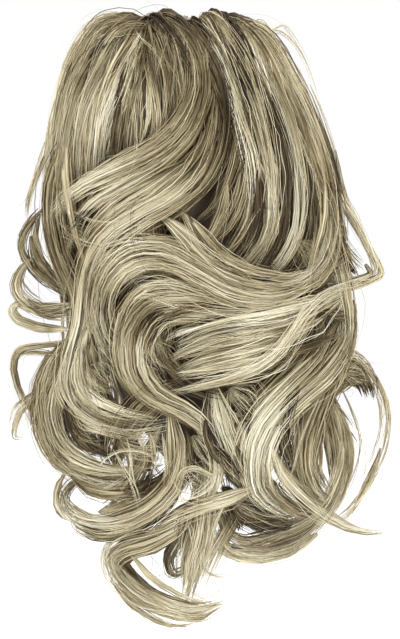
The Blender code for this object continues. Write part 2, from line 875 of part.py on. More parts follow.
def main():
    clear_scene()
    parts = new_collection("ponytail_hairpiece")
    helpers = new_collection("ponytail_helpers")
    hair = new_material("ash_blonde_hair", (0.47, 0.40, 0.25), 0.42)
    plastic = new_material("brown_clip_plastic", (0.10, 0.07, 0.04), 0.35)

    clip = joined([clip_spine(helpers)], "claw_clip", parts)
    jaws = [jaw_shell(1, helpers), jaw_shell(-1, helpers)]
    tabs = [clip_tab(1, 0.0, helpers), clip_tab(-1, 0.0, helpers)]
    for piece in (*jaws, *tabs):
        add_boolean(clip, "UNION", piece)
    settled(clip)

    half = backing_half()
    parting = chart_x(153)
    left = charted_locks(LEFT_WEFT, helpers)
    left.append(loft_backing(1, -half, parting, helpers))
    left_bundle = fused_hair(left, "left_bundle", LEFT_FACES, hair, parts)
    right = charted_locks(RIGHT_WEFT, helpers)
    right.append(loft_backing(1, parting + CLEARANCE, half, helpers))
    right_bundle = fused_hair(right, "right_bundle", RIGHT_FACES, hair, parts)
    under = charted_locks(UNDER_WEFT, helpers) + back_locks(helpers)
    under += [loft_core(helpers), loft_backing(-1, -half, half, helpers)]
    under_bundle = fused_hair(under, "under_bundle", UNDER_FACES, hair, parts)

    rooms = clip_rooms(helpers)
    for bundle, neighbours in (
        (right_bundle, []),
        (left_bundle, [right_bundle]),
        (under_bundle, [right_bundle, left_bundle]),
    ):
        for neighbour in neighbours:
            for gap in (BUNDLE_GAP, BUNDLE_GAP / 2, 0.0):
                add_boolean(bundle, "DIFFERENCE", grown_copy(neighbour, gap, helpers), "MANIFOLD")
        for room in rooms:
            add_boolean(bundle, "DIFFERENCE", room, "MANIFOLD")
        settled(bundle)

    finish(clip, plastic)
    for bundle in (left_bundle, right_bundle, under_bundle):
        finish(bundle, hair)
    for helper in helpers.objects:
        helper.hide_render = True
        helper.display_type = "WIRE"


main()
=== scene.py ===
# Claw-clip ponytail hairpiece: strands, locks and the hidden clip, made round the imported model.
import math

import bmesh
import bpy
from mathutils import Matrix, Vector


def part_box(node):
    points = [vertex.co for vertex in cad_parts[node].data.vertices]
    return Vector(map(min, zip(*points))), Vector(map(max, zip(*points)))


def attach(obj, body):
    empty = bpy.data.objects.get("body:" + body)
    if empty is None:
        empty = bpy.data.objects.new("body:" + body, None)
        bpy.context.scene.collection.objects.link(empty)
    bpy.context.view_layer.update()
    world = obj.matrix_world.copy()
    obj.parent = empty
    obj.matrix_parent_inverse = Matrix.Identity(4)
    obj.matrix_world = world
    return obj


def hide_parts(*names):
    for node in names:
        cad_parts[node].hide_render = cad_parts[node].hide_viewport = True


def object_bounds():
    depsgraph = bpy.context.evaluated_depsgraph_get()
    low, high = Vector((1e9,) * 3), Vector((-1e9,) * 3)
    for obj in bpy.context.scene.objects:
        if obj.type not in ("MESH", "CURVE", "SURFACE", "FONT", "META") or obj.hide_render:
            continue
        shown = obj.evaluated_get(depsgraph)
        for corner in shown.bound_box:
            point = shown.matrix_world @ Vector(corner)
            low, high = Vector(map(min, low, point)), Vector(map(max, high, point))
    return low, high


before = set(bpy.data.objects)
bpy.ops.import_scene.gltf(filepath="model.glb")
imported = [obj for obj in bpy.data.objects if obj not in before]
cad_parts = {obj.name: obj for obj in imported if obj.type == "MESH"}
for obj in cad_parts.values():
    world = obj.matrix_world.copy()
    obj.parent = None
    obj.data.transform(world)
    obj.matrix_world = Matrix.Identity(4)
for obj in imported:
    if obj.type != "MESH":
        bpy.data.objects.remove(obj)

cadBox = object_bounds()
print("frame loaded")

# the chart that the locks are drawn on, a grid over the front view, and the real size that it covers
chart = {
    "across": 400, "down": 612, "top": 8, "centre": 196, "meanFront": 0.75,
    "width": 0.228, "length": 0.350, "front": 0.060, "back": 0.034, "clipBelowTop": 0.044,
}

# the hair's outline: height on the chart, left and right edges, and how far it stands out, as shares
outline = (
    {"down": 8, "left": 120, "right": 250, "front": 0.30, "back": 0.34},
    {"down": 22, "left": 90, "right": 272, "front": 0.48, "back": 0.50},
    {"down": 48, "left": 68, "right": 294, "front": 0.66, "back": 0.60},
    {"down": 90, "left": 54, "right": 312, "front": 0.82, "back": 0.68},
    {"down": 150, "left": 44, "right": 336, "front": 0.93, "back": 0.84},
    {"down": 220, "left": 42, "right": 352, "front": 1.00, "back": 1.00},
    {"down": 300, "left": 48, "right": 358, "front": 1.00, "back": 1.00},
    {"down": 380, "left": 46, "right": 362, "front": 0.97, "back": 0.94},
    {"down": 450, "left": 54, "right": 358, "front": 0.88, "back": 0.86},
    {"down": 510, "left": 78, "right": 330, "front": 0.76, "back": 0.74},
    {"down": 560, "left": 112, "right": 276, "front": 0.60, "back": 0.58},
    {"down": 620, "left": 140, "right": 220, "front": 0.42, "back": 0.40},
)
edgeBulge = 0.22  # the share of its depth that the hair keeps at its left and right edges
square = chart["width"] / chart["across"]  # one chart square in metres
frontSurface = -chart["meanFront"] * chart["front"]  # the hair's mean front surface


def addObject(name, data):
    made = bpy.data.objects.new(name, data)
    bpy.context.scene.collection.objects.link(made)
    return made


def setValues(node, values):
    for label, value in values.items():
        node.inputs[label].default_value = value


def newMaterial(name):
    material = bpy.data.materials.new(name)
    material.use_nodes = True
    return material, material.node_tree, material.node_tree.nodes["Principled BSDF"]


# camera: level, at the photo's framing of 400 x 639
view = {"width": 400, "height": 639, "distance": 1.62, "sensor": 36, "nearest": 0.05}


def addCamera():
    scaleDown = chart["length"] / chart["down"]
    centreX = (view["width"] / 2 - chart["centre"]) * square
    centreZ = chart["clipBelowTop"] - (view["height"] / 2 - chart["top"]) * scaleDown
    data = bpy.data.cameras.new("photoCamera")
    data.sensor_width = view["sensor"]
    data.lens = data.sensor_width * (view["distance"] + frontSurface) / (view["height"] * scaleDown)
    data.clip_start = view["nearest"]
    camera = addObject("photoCamera", data)
    camera.location = (centreX, -view["distance"], centreZ)
    camera.rotation_euler = (math.pi / 2, 0, 0)
    bpy.context.scene.camera = camera


addCamera()


# soft studio: a pale floor under the hanging hair, a white room and four soft lights
studio = {
    "floorBelow": 0.16, "floorSize": 14.0, "floorWhite": 0.98, "floorGlow": 0.15, "floorRoughness": 0.9,
    "world": 1.0, "aim": (0, 0, -0.12),
    "lights": (
        {"name": "key", "place": (-0.75, -1.35, 1.05), "size": 0.9, "watts": 19},
        {"name": "fill", "place": (1.3, -1.2, 0.25), "size": 1.2, "watts": 9},
        {"name": "top", "place": (0.1, 0.15, 1.3), "size": 0.8, "watts": 9},
        {"name": "rim", "place": (0.4, 1.5, 0.5), "size": 1.0, "watts": 9},
    ),
}


def addStudio():
    scene = bpy.context.scene
    scene.view_settings.view_transform = "Standard"
    world = bpy.data.worlds.new("whiteRoom")
    world.use_nodes = True
    setValues(world.node_tree.nodes["Background"], {"Color": (1, 1, 1, 1), "Strength": studio["world"]})
    scene.world = world
    for row in studio["lights"]:
        data = bpy.data.lights.new(row["name"], "AREA")
        data.shape = "DISK"
        data.size = row["size"]
        data.energy = row["watts"]
        light = addObject(row["name"], data)
        light.location = row["place"]
        way = Vector(studio["aim"]) - light.location
        light.rotation_euler = way.to_track_quat("-Z", "Y").to_euler()
    half = studio["floorSize"] / 2
    low = cadBox[0].z - studio["floorBelow"]
    corners = [(-half, -half, low), (half, -half, low), (half, half, low), (-half, half, low)]
    mesh = bpy.data.meshes.new("paleFloor")
    mesh.from_pydata(corners, [], [(0, 1, 2, 3)])
    floor = addObject("paleFloor", mesh)
    paint, _, shader = newMaterial("palePaint")
    white = studio["floorWhite"]
    setValues(shader, {
        "Base Color": (white, white, white, 1), "Roughness": studio["floorRoughness"],
        "Emission Color": (1, 1, 1, 1), "Emission Strength": studio["floorGlow"],
    })
    mesh.materials.append(paint)


addStudio()
print("camera, floor and lights set")


def connect(tree, feed, socket):
    if isinstance(feed, bpy.types.NodeSocket):
        tree.links.new(feed, socket)
    elif feed is not None:
        socket.default_value = feed


def addNode(tree, kind, *feeds, **settings):
    node = tree.nodes.new(kind)
    for key, value in settings.items():
        setattr(node, key, value)
    for feed, socket in zip(feeds, [s for s in node.inputs if s.enabled]):
        connect(tree, feed, socket)
    return next((s for s in node.outputs if s.enabled), node)


def mathNode(tree, operation, *feeds):
    return addNode(tree, "ShaderNodeMath", *feeds, operation=operation)


# sums and products of sockets and numbers, worked from left to right
def sumsOn(tree):
    def chain(operation):
        def result(first, *others):
            for other in others:
                first = mathNode(tree, operation, first, other)
            return first
        return result
    return [chain(operation) for operation in ("ADD", "SUBTRACT", "MULTIPLY", "POWER", "MINIMUM")]


def scaled(tree, vector, amount):
    node = addNode(tree, "ShaderNodeVectorMath", vector, operation="SCALE").node
    connect(tree, amount, node.inputs["Scale"])
    return node.outputs[0]


def summed(tree, a, b):
    return addNode(tree, "ShaderNodeVectorMath", a, b, operation="ADD")


def addNoise(tree, place, scale=1.0, detail=1.0, dimensions="3D"):
    node = tree.nodes.new("ShaderNodeTexNoise")
    node.noise_dimensions = dimensions
    setValues(node, {"Scale": scale, "Detail": detail})
    tree.links.new(place, node.inputs["Vector"])
    return node


def addRamp(tree, value, colours, socket):
    ramp = tree.nodes.new("ShaderNodeValToRGB")
    while len(ramp.color_ramp.elements) < len(colours):
        ramp.color_ramp.elements.new(0.5)
    for element, (place, colour) in zip(ramp.color_ramp.elements, colours):
        element.position = place
        element.color = (*colour, 1)
    tree.links.new(value, ramp.inputs[0])
    tree.links.new(ramp.outputs[0], socket)


def addBump(tree, height, strength, distance, socket):
    bump = tree.nodes.new("ShaderNodeBump")
    setValues(bump, {"Strength": strength, "Distance": distance})
    tree.links.new(height, bump.inputs["Height"])
    tree.links.new(bump.outputs[0], socket)


# every strand is a closed three-sided tube that follows its lock's guide, and a ribbon is a flat one
# of four sides that stands for a few dozen hairs that lie together
strandLook = {
    "width": 0.00044, "bend": 15.0, "longest": 0.011, "wander": 0.0030, "wanderSize": 0.060,
    "frizz": 0.0008, "frizzSize": 0.030, "twist": 4.0, "clumps": 7.0, "loose": 0.76, "gather": 0.44,
    "stray": 0.8, "sink": -0.30, "reach": 1.12, "shortest": 0.50, "sides": 3, "flatness": 1.0,
    "streaks": 0.0, "toneSpread": 0.08, "clumpToneAndSheen": 0.88, "patchLightAndShade": 0.80, "paintedDepthShade": 0.10,
    "paintedEdgeShade": 0.30, "darker": -0.08,
}
ribbonLook = {
    **strandLook, "width": 0.0017, "frizz": 0.0003, "stray": 0.1, "sink": 0.45, "reach": 1.0,
    "shortest": 0.60, "sides": 4, "flatness": 0.16, "streaks": 0.035, "darker": -0.01,
}
deepLook = {
    **ribbonLook, "width": 0.0030, "reach": 0.86, "bend": 16.0, "longest": 0.013, "shortest": 0.85,
    "streaks": 0.08, "clumpToneAndSheen": 0.5, "paintedEdgeShade": 0.10, "darker": 0.0,
}
looseLook = {
    **strandLook, "width": 0.00028, "bend": 9.0, "longest": 0.0055, "wander": 0.0046, "frizz": 0.0026,
    "frizzSize": 0.020, "clumps": 9.0, "loose": 1.0, "stray": 2.0, "reach": 1.25, "shortest": 0.35,
    "toneSpread": 0.16, "clumpToneAndSheen": 0.4, "patchLightAndShade": 0.2, "paintedEdgeShade": 0.0, "darker": -0.10,
}
fuzzLook = {
    **looseLook, "width": 0.00020, "wander": 0.0060, "wanderSize": 0.035, "frizz": 0.0050,
    "frizzSize": 0.022, "reach": 1.0, "shortest": 0.25, "darker": -0.20,
}
gapLook = {**fuzzLook, "darker": 0.0, "reach": 1.2}
wispLook = {
    **strandLook, "width": 0.00034, "bend": 10.0, "longest": 0.008, "clumps": 2.0, "loose": 1.0,
    "wander": 0.0020, "patchLightAndShade": 0.3, "clumpToneAndSheen": 0.6, "paintedEdgeShade": 0.0, "shortest": 0.45,
}
guideKeys = ("bend", "longest")  # these thin the guides, and every other key is an input of the tree
guideStep = 0.002  # metres between a guide's points, before it is thinned where it runs straight

# what all strands share: how seldom one strays, how they drift, how tones come in painted highlight bands and
# in patches of painted light and shade, and how a strand thins at its root and draws out to its tip
strandRule = {
    "mostClumps": 17.0, "clumpStep": 3.7, "leastGather": 0.1, "strayPower": 14.0, "drift": 4.0,
    "wanderRise": 0.6, "frizzRise": 0.8, "frizzKinds": 90.0, "loosePower": 9.0, "looseFrizz": 3.0,
    "leastFrizz": 0.6, "sheenBandsAlong": 4.5, "sheenBandDetail": 0.5, "lightAndShadePatches": 22.0, "shortPower": 2.0,
    "tipEnd": 1.03, "tipTaper": 2.6, "rootWidth": 0.3, "rootTaper": 9.0, "thinnest": 0.35, "thickest": 0.66,
}


def strandTree():
    rule = strandRule
    tree = bpy.data.node_groups.new("hairStrands", "GeometryNodeTree")
    sizes = [(key, "Int" if key == "sides" else "Float") for key in strandLook if key not in guideKeys]
    for label, kind in (("guides", "Geometry"), *sizes, ("seed", "Int"), ("hair", "Material")):
        tree.interface.new_socket(label, in_out="INPUT", socket_type="NodeSocket" + kind)
    tree.interface.new_socket("strands", in_out="OUTPUT", socket_type="NodeSocketGeometry")
    given = tree.nodes.new("NodeGroupInput").outputs
    plus, minus, times, power, least = sumsOn(tree)

    def named(name, kind="FLOAT"):
        return addNode(tree, "GeometryNodeInputNamedAttribute", name, data_type=kind)

    def perStrand(value, kind="FLOAT"):
        return addNode(tree, "GeometryNodeFieldOnDomain", value, domain="CURVE", data_type=kind)

    def stored(geometry, name, value, kind="FLOAT", domain="POINT"):
        return addNode(tree, "GeometryNodeStoreNamedAttribute", geometry, None, name, value,
                       data_type=kind, domain=domain)

    def chance(low, high, ident, salt):
        seed = plus(given["seed"], float(salt))
        node = tree.nodes.new("FunctionNodeRandomValue")
        node.data_type = "FLOAT"
        node.inputs[2].default_value = low
        node.inputs[3].default_value = high
        tree.links.new(ident, node.inputs["ID"])
        tree.links.new(seed, node.inputs["Seed"])
        return perStrand(node.outputs[1])

    curves = addNode(tree, "GeometryNodeMeshToCurve", given["guides"])
    copies = addNode(tree, "GeometryNodeDuplicateElements", curves, None, named("strands", "INT"),
                     domain="SPLINE")
    strand = perStrand(addNode(tree, "GeometryNodeInputIndex"), "INT")
    along = addNode(tree, "GeometryNodeSplineParameter")
    broad, facing = named("broad", "FLOAT_VECTOR"), named("facing", "FLOAT_VECTOR")

    # each strand belongs to one of the lock's few clumps, which part and wander together
    clump = mathNode(tree, "FLOOR", times(chance(0.0, 1.0, strand, 1), given["clumps"]))
    clumpId = plus(clump, times(named("lock"), rule["mostClumps"]))
    clumpKey = times(clumpId, rule["clumpStep"])
    own = chance(0.0, math.tau, strand, 2)
    astray = times(power(chance(0.0, 1.0, strand, 11), rule["strayPower"]), given["stray"])
    ownReach = plus(times(mathNode(tree, "SQRT", chance(0.0, 1.0, strand, 3)), given["loose"]), astray)
    turn = times(along.node.outputs["Length"], given["twist"])
    shared = plus(chance(0.0, math.tau, clumpId, 4), turn)
    sharedReach = times(mathNode(tree, "SQRT", chance(rule["leastGather"], 1.0, clumpId, 5)), given["gather"])

    def shareOf(wave):
        ownShare = times(mathNode(tree, wave, own), ownReach)
        return plus(ownShare, times(mathNode(tree, wave, shared), sharedReach))

    acrossShare, outShare = shareOf("COSINE"), shareOf("SINE")
    full = times(named("fullness"), given["reach"])
    across = times(acrossShare, named("halfWide"), full)
    out = times(minus(outShare, given["sink"]), named("halfThick"), full)
    offset = summed(tree, scaled(tree, broad, across), scaled(tree, facing, out))

    # slow wander by clump, fine frizz by strand, both stronger towards the tips
    where = addNode(tree, "GeometryNodeInputPosition")

    def drift(size, key, amount, rise):
        field = addNoise(tree, scaled(tree, where, mathNode(tree, "DIVIDE", 1.0, size)), dimensions="4D")
        tree.links.new(key, field.inputs["W"])
        centred = addNode(tree, "ShaderNodeVectorMath", field.outputs["Color"], (0.5, 0.5, 0.5),
                          operation="SUBTRACT")
        return scaled(tree, centred, times(power(along, rise), amount, rule["drift"]))

    slow = drift(given["wanderSize"], clumpKey, given["wander"], rule["wanderRise"])
    fine = drift(given["frizzSize"], chance(0.0, rule["frizzKinds"], strand, 6), given["frizz"],
                 rule["frizzRise"])
    loose = times(power(chance(0.0, 1.0, strand, 7), rule["loosePower"]), rule["looseFrizz"])
    fine = scaled(tree, fine, plus(loose, rule["leastFrizz"]))
    moved = addNode(tree, "GeometryNodeSetPosition", copies, None, None,
                    summed(tree, offset, summed(tree, slow, fine)))

    # what the material reads: the strand's tone and the place along it
    # partly random tone by clump and partly painted highlights: each clump's tone rises and falls in bands
    # along its length
    sheenBandPlace = addNode(tree, "ShaderNodeCombineXYZ", clumpKey, times(along, rule["sheenBandsAlong"]))
    sheenBands = addNoise(tree, sheenBandPlace, detail=rule["sheenBandDetail"], dimensions="2D").outputs[0]
    # painted highlights and shade: the tone rises and falls in random patches over the hair
    lightAndShadePatches = addNoise(tree, where, scale=rule["lightAndShadePatches"]).outputs[0]
    # painted shade: strands towards a lock's sides are darker and its middle lighter, as light falls on a
    # rounded lock
    edge = least(times(acrossShare, acrossShare), 1.0)
    # painted shade: strands towards a lock's outer face are lighter and those inside it darker
    tone = plus(named("tone"), times(chance(-1.0, 1.0, strand, 8), given["toneSpread"]),
                times(outShare, given["paintedDepthShade"]), times(minus(sheenBands, 0.5), given["clumpToneAndSheen"]))
    tone = minus(tone, times(edge, given["paintedEdgeShade"]))
    tone = minus(plus(tone, times(minus(lightAndShadePatches, 0.5), given["patchLightAndShade"])), given["darker"])
    placed = stored(stored(moved, "strandTone", tone), "strandPlace", along)
    placed = stored(placed, "sideways", acrossShare)
    missing = times(power(chance(0.0, 1.0, strand, 9), rule["shortPower"]), minus(1.0, given["shortest"]))
    trimmed = addNode(tree, "GeometryNodeTrimCurve", placed, None, 0.0, minus(1.0, missing))

    # a strand thins at its root and draws out to its tip
    taper = least(times(minus(rule["tipEnd"], along), rule["tipTaper"]), 1.0,
                  plus(times(along, rule["rootTaper"]), rule["rootWidth"]))
    radius = times(given["width"], taper, chance(rule["thinnest"], rule["thickest"], strand, 10))
    outward = summed(tree, facing, scaled(tree, broad, named("sideways")))
    turned = addNode(tree, "GeometryNodeSetCurveNormal", trimmed, None, outward, mode="FREE")
    circle = tree.nodes.new("GeometryNodeCurvePrimitiveCircle")
    circle.inputs["Radius"].default_value = 1.0
    tree.links.new(given["sides"], circle.inputs["Resolution"])
    parts = addNode(tree, "ShaderNodeSeparateXYZ", where).node.outputs
    thin = addNode(tree, "ShaderNodeCombineXYZ", given["flatness"], 1.0, 1.0)
    profile = stored(circle.outputs[0], "edge", parts[1])
    profile = addNode(tree, "GeometryNodeTransform", profile, None, None, thin)
    tubes = addNode(tree, "GeometryNodeCurveToMesh", turned, profile, radius, True)
    streaked = plus(named("strandTone"), times(named("edge"), given["streaks"]))
    pair = addNode(tree, "ShaderNodeCombineXYZ", streaked, named("strandPlace"))
    mapped = stored(tubes, "OFBake", pair, "FLOAT2", "CORNER")
    smooth = addNode(tree, "GeometryNodeSetShadeSmooth", mapped, None, True)
    real = addNode(tree, "GeometryNodeRealizeInstances", smooth)
    final = addNode(tree, "GeometryNodeSetMaterial", real, None, given["hair"])
    tree.links.new(final, tree.nodes.new("NodeGroupOutput").inputs["strands"])
    return tree


# colour follows the strand's tone (u) and the place along it (v), so it bakes the same anywhere
hairColours = (
    (0.00, (0.026, 0.014, 0.005)), (0.20, (0.092, 0.062, 0.026)), (0.42, (0.270, 0.215, 0.110)),
    (0.64, (0.530, 0.460, 0.290)), (0.84, (0.765, 0.700, 0.500)), (1.00, (0.900, 0.860, 0.700)),
)
hairFinish = {
    "streaks": 46.0, "alongScale": 1.4, "streakDepth": 0.20, "tipLight": 0.10, "tipFrom": 0.45,
    "rootDarkAndShade": 0.14, "rootEnd": 0.12, "roughness": 0.36, "streakRoughness": 0.22, "gloss": 0.28,
    "bump": 0.5, "bumpDepth": 0.0004,
}


def hairMaterial():
    finish = hairFinish
    material, tree, shader = newMaterial("ashBlondeHair")
    plus, minus, times, _, least = sumsOn(tree)
    uv = tree.nodes.new("ShaderNodeUVMap")
    uv.uv_map = "OFBake"
    u, v = addNode(tree, "ShaderNodeSeparateXYZ", uv.outputs[0]).node.outputs[:2]
    spread = (finish["streaks"], finish["alongScale"], 0.0)
    streakPlace = addNode(tree, "ShaderNodeVectorMath", uv.outputs[0], spread, operation="MULTIPLY")
    streak = addNoise(tree, streakPlace, dimensions="2D").outputs[0]
    shift = times(minus(streak, 0.5), finish["streakDepth"])
    rise = times(minus(v, finish["tipFrom"]), finish["tipLight"])
    # the roots are darkened over their first stretch: partly the hair's own darker roots, partly painted
    # shade where strands come out from under the others
    rootShade = times(least(v, finish["rootEnd"]), finish["rootDarkAndShade"] / finish["rootEnd"])
    tone = plus(minus(plus(u, shift, rise), finish["rootDarkAndShade"]), rootShade)
    addRamp(tree, tone, hairColours, shader.inputs["Base Color"])
    roughness = plus(times(streak, finish["streakRoughness"]), finish["roughness"])
    tree.links.new(roughness, shader.inputs["Roughness"])
    addBump(tree, streak, finish["bump"], finish["bumpDepth"], shader.inputs["Normal"])
    shader.inputs["Specular IOR Level"].default_value = finish["gloss"]
    return material


strands = strandTree()
hair = hairMaterial()


def between(low, high, share):
    return low + (high - low) * share


def outlineAt(down):
    if down <= outline[0]["down"]:
        return outline[0]
    for above, below in zip(outline, outline[1:]):
        if down <= below["down"]:
            share = (down - above["down"]) / (below["down"] - above["down"])
            return {key: between(above[key], below[key], share) for key in above}
    return outline[-1]


def chartPlace(across, down, out, behind):
    row = outlineAt(down)
    half = (row["right"] - row["left"]) / 2
    side = (across - (row["right"] + row["left"]) / 2) / half
    bulge = max(math.sqrt(max(0.0, 1 - side * side)), edgeBulge)
    depth = chart["back"] * row["back"] if behind else -chart["front"] * row["front"]
    height = chart["clipBelowTop"] - (down - chart["top"]) * chart["length"] / chart["down"]
    place = Vector(((across - chart["centre"]) * square, depth * bulge * out, height))
    if behind:
        return place
    eye = bpy.context.scene.camera.location  # the chart is drawn as the camera sees it
    spread = (place.y - eye.y) / (frontSurface - eye.y)
    return Vector((eye.x + (place.x - eye.x) * spread, place.y, eye.z + (place.z - eye.z) * spread))


def smoothRoute(stops, spacing):
    ends = [stops[0] * 2 - stops[1], *stops, stops[-1] * 2 - stops[-2]]
    route = []
    for a, b, c, d in zip(ends, ends[1:], ends[2:], ends[3:]):
        steps = max(1, round((c - b).length / spacing))
        for step in range(steps):
            t = step / steps
            bend = (2 * a - 5 * b + 4 * c - d) * t**2 + (3 * b - a - 3 * c + d) * t**3
            route.append(0.5 * (2 * b + (c - a) * t + bend))
    route.append(stops[-1])
    return route


# where the locks leave the sewn backing, over the clip's jaws, and how high on the chart the crest dips,
# a lock is sewn to the backing, and a lock is rooted rather than pointed where it starts
roots = {"over": 0.0026, "inset": 0.003, "drop": 0.0024, "dipsAbove": 18, "sewnAbove": 22, "rootedAbove": 30}
clipLow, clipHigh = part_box("claw_clip")
rootRise = (clipHigh.z - clipLow.z) / 2 + roots["over"]
rootReach = (clipHigh.x - clipLow.x) / 2 - roots["inset"]

# how far the crest dips at the parting, between its mounds and toward its right shoulder
crestDips = ((90, 2), (114, 5), (130, 6), (143, 9), (152, 2), (165, 2), (180, 4), (192, 7), (204, 4),
             (216, 0), (228, 1), (240, 4), (252, 7), (264, 11), (290, 11))


def crestDip(across):
    for (start, dip), (end, nextDip) in zip(crestDips, crestDips[1:]):
        if across < end:
            return dip + (nextDip - dip) * max(0, across - start) / (end - start)
    return crestDips[-1][1]


def lockPath(lock, behind):
    stops = []
    for across, down, out in lock["route"]:
        dip = crestDip(across) if down < roots["dipsAbove"] else 0
        stops.append(chartPlace(across, down + dip, out, behind))
    if lock["route"][0][1] < roots["sewnAbove"]:
        for stop in stops[:3]:
            stop.z -= roots["drop"]  # the hair's own thickness at its crest
        across = max(-rootReach, min(rootReach, stops[0].x))
        stops.insert(0, Vector((across, 0.0, rootRise)))
    return smoothRoute(stops, guideStep)


# points stay close where the guide bends and far apart where it runs straight
def thinned(route, bend, longest):
    kept = [route[0]]
    lastWay = (route[1] - route[0]).normalized()
    for here, ahead in zip(route[1:], route[2:]):
        way = (ahead - here).normalized()
        turned = math.degrees(math.acos(max(-1.0, min(1.0, way.dot(lastWay)))))
        if turned > bend or (ahead - kept[-1]).length > longest:
            kept.append(here)
            lastWay = way
    kept.append(route[-1])
    return kept


# how a lock lies: how strongly its face turns back to the front, how full it is where it starts from
# the roots or below them, how fast it opens, and how it closes to its tip
lockRule = {"faceHold": 0.35, "rooted": 0.5, "pointed": 0.12, "opens": 3.2, "tip": 0.34, "closes": 1.8,
            "countPower": 0.6}


def lockFrames(route, facing):
    face = facing
    frames = []
    for index in range(len(route)):
        tangent = (route[min(index + 1, len(route) - 1)] - route[max(index - 1, 0)]).normalized()
        face = face + lockRule["faceHold"] * facing
        face = (face - tangent * face.dot(tangent)).normalized()
        frames.append((tangent.cross(face), face))
    return frames


def toneAt(tones, share):
    place = share * (len(tones) - 1)
    index = min(int(place), len(tones) - 2)
    return between(tones[index], tones[index + 1], place - index)


def guideMesh(name, locks, look, density, behind):
    points, edges = [], []
    data = {key: [] for key in ("lock", "strands", "tone", "fullness", "halfWide", "halfThick")}
    vectors = {"broad": [], "facing": []}
    facing = Vector((0, 1 if behind else -1, 0))
    for number, lock in enumerate(locks):
        route = thinned(lockPath(lock, behind), look["bend"], look["longest"])
        start = len(points)
        count = max(2, round(density * (lock["wide"] * lock["thick"]) ** lockRule["countPower"]))
        rooted = behind or lock["route"][0][1] < roots["rootedAbove"] or lock.get("blunt")
        opening = lockRule["rooted" if rooted else "pointed"]
        gone = 0.0
        whole = sum((b - a).length for a, b in zip(route, route[1:]))
        for index, (here, (broad, face)) in enumerate(zip(route, lockFrames(route, facing))):
            if index:
                gone += (here - route[index - 1]).length
                edges.append((start + index - 1, start + index))
            points.append(here)
            share = gone / whole
            closing = lockRule["tip"] + lockRule["closes"] * (1 - share)
            values = (number, count, toneAt(lock["tone"], share),
                      min(1.0, opening + lockRule["opens"] * share, closing),
                      lock["wide"] * square / 2, lock["thick"] * square / 2)
            for column, value in zip(data.values(), values):
                column.append(value)
            vectors["broad"].extend(broad)
            vectors["facing"].extend(face)
    mesh = bpy.data.meshes.new(name)
    mesh.from_pydata(points, edges, [])
    for key, values in data.items():
        kind = "INT" if key == "strands" else "FLOAT"
        mesh.attributes.new(key, kind, "POINT").data.foreach_set("value", values)
    for key, values in vectors.items():
        mesh.attributes.new(key, "FLOAT_VECTOR", "POINT").data.foreach_set("vector", values)
    return addObject(name, mesh)


def setInput(modifier, label, value):
    sockets = modifier.node_group.interface.items_tree
    socket = next(item for item in sockets if item.name == label and item.in_out == "INPUT")
    modifier[socket.identifier] = value


# what only the tree reads, and the finished meshes go without
guideFields = ("lock", "strands", "tone", "fullness", "halfWide", "halfThick", "broad", "facing", "sideways",
               "strandTone", "strandPlace", "edge")
totals = []


def growHair(name, locks, node, look, density, seed, behind=False):
    guides = guideMesh(name + "Guides", locks, look, density, behind)
    modifier = guides.modifiers.new("strands", "NODES")
    modifier.node_group = strands
    for label, value in {**look, "seed": seed, "hair": hair}.items():
        if label not in guideKeys:
            setInput(modifier, label, value)
    graph = bpy.context.evaluated_depsgraph_get()
    mesh = bpy.data.meshes.new_from_object(guides.evaluated_get(graph))
    mesh.name = name
    for field in [attribute.name for attribute in mesh.attributes if attribute.name in guideFields]:
        mesh.attributes.remove(mesh.attributes[field])
    piece = addObject(name, mesh)
    bpy.data.objects.remove(guides)
    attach(piece, "root")
    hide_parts(node)
    mesh.calc_loop_triangles()
    totals.append(len(mesh.loop_triangles))
    print(name, totals[-1], "triangles")


# a row below is a lock: how wide and thick it is in chart squares, its tone, or its tones from root to
# tip, and the stops of its route: across, down and how far out, which is 1 where it isn't given
# the tones are partly the hair's own colour and partly painted highlights and painted shade along the locks,
# and the darkest locks laid in the gaps are painted shade
def locksFrom(*rows):
    return [
        {"wide": wide, "thick": thick, "tone": tone if isinstance(tone, tuple) else (tone, tone),
         "route": [(*stop, 1.0)[:3] for stop in route]}
        for wide, thick, tone, *route in rows
    ]


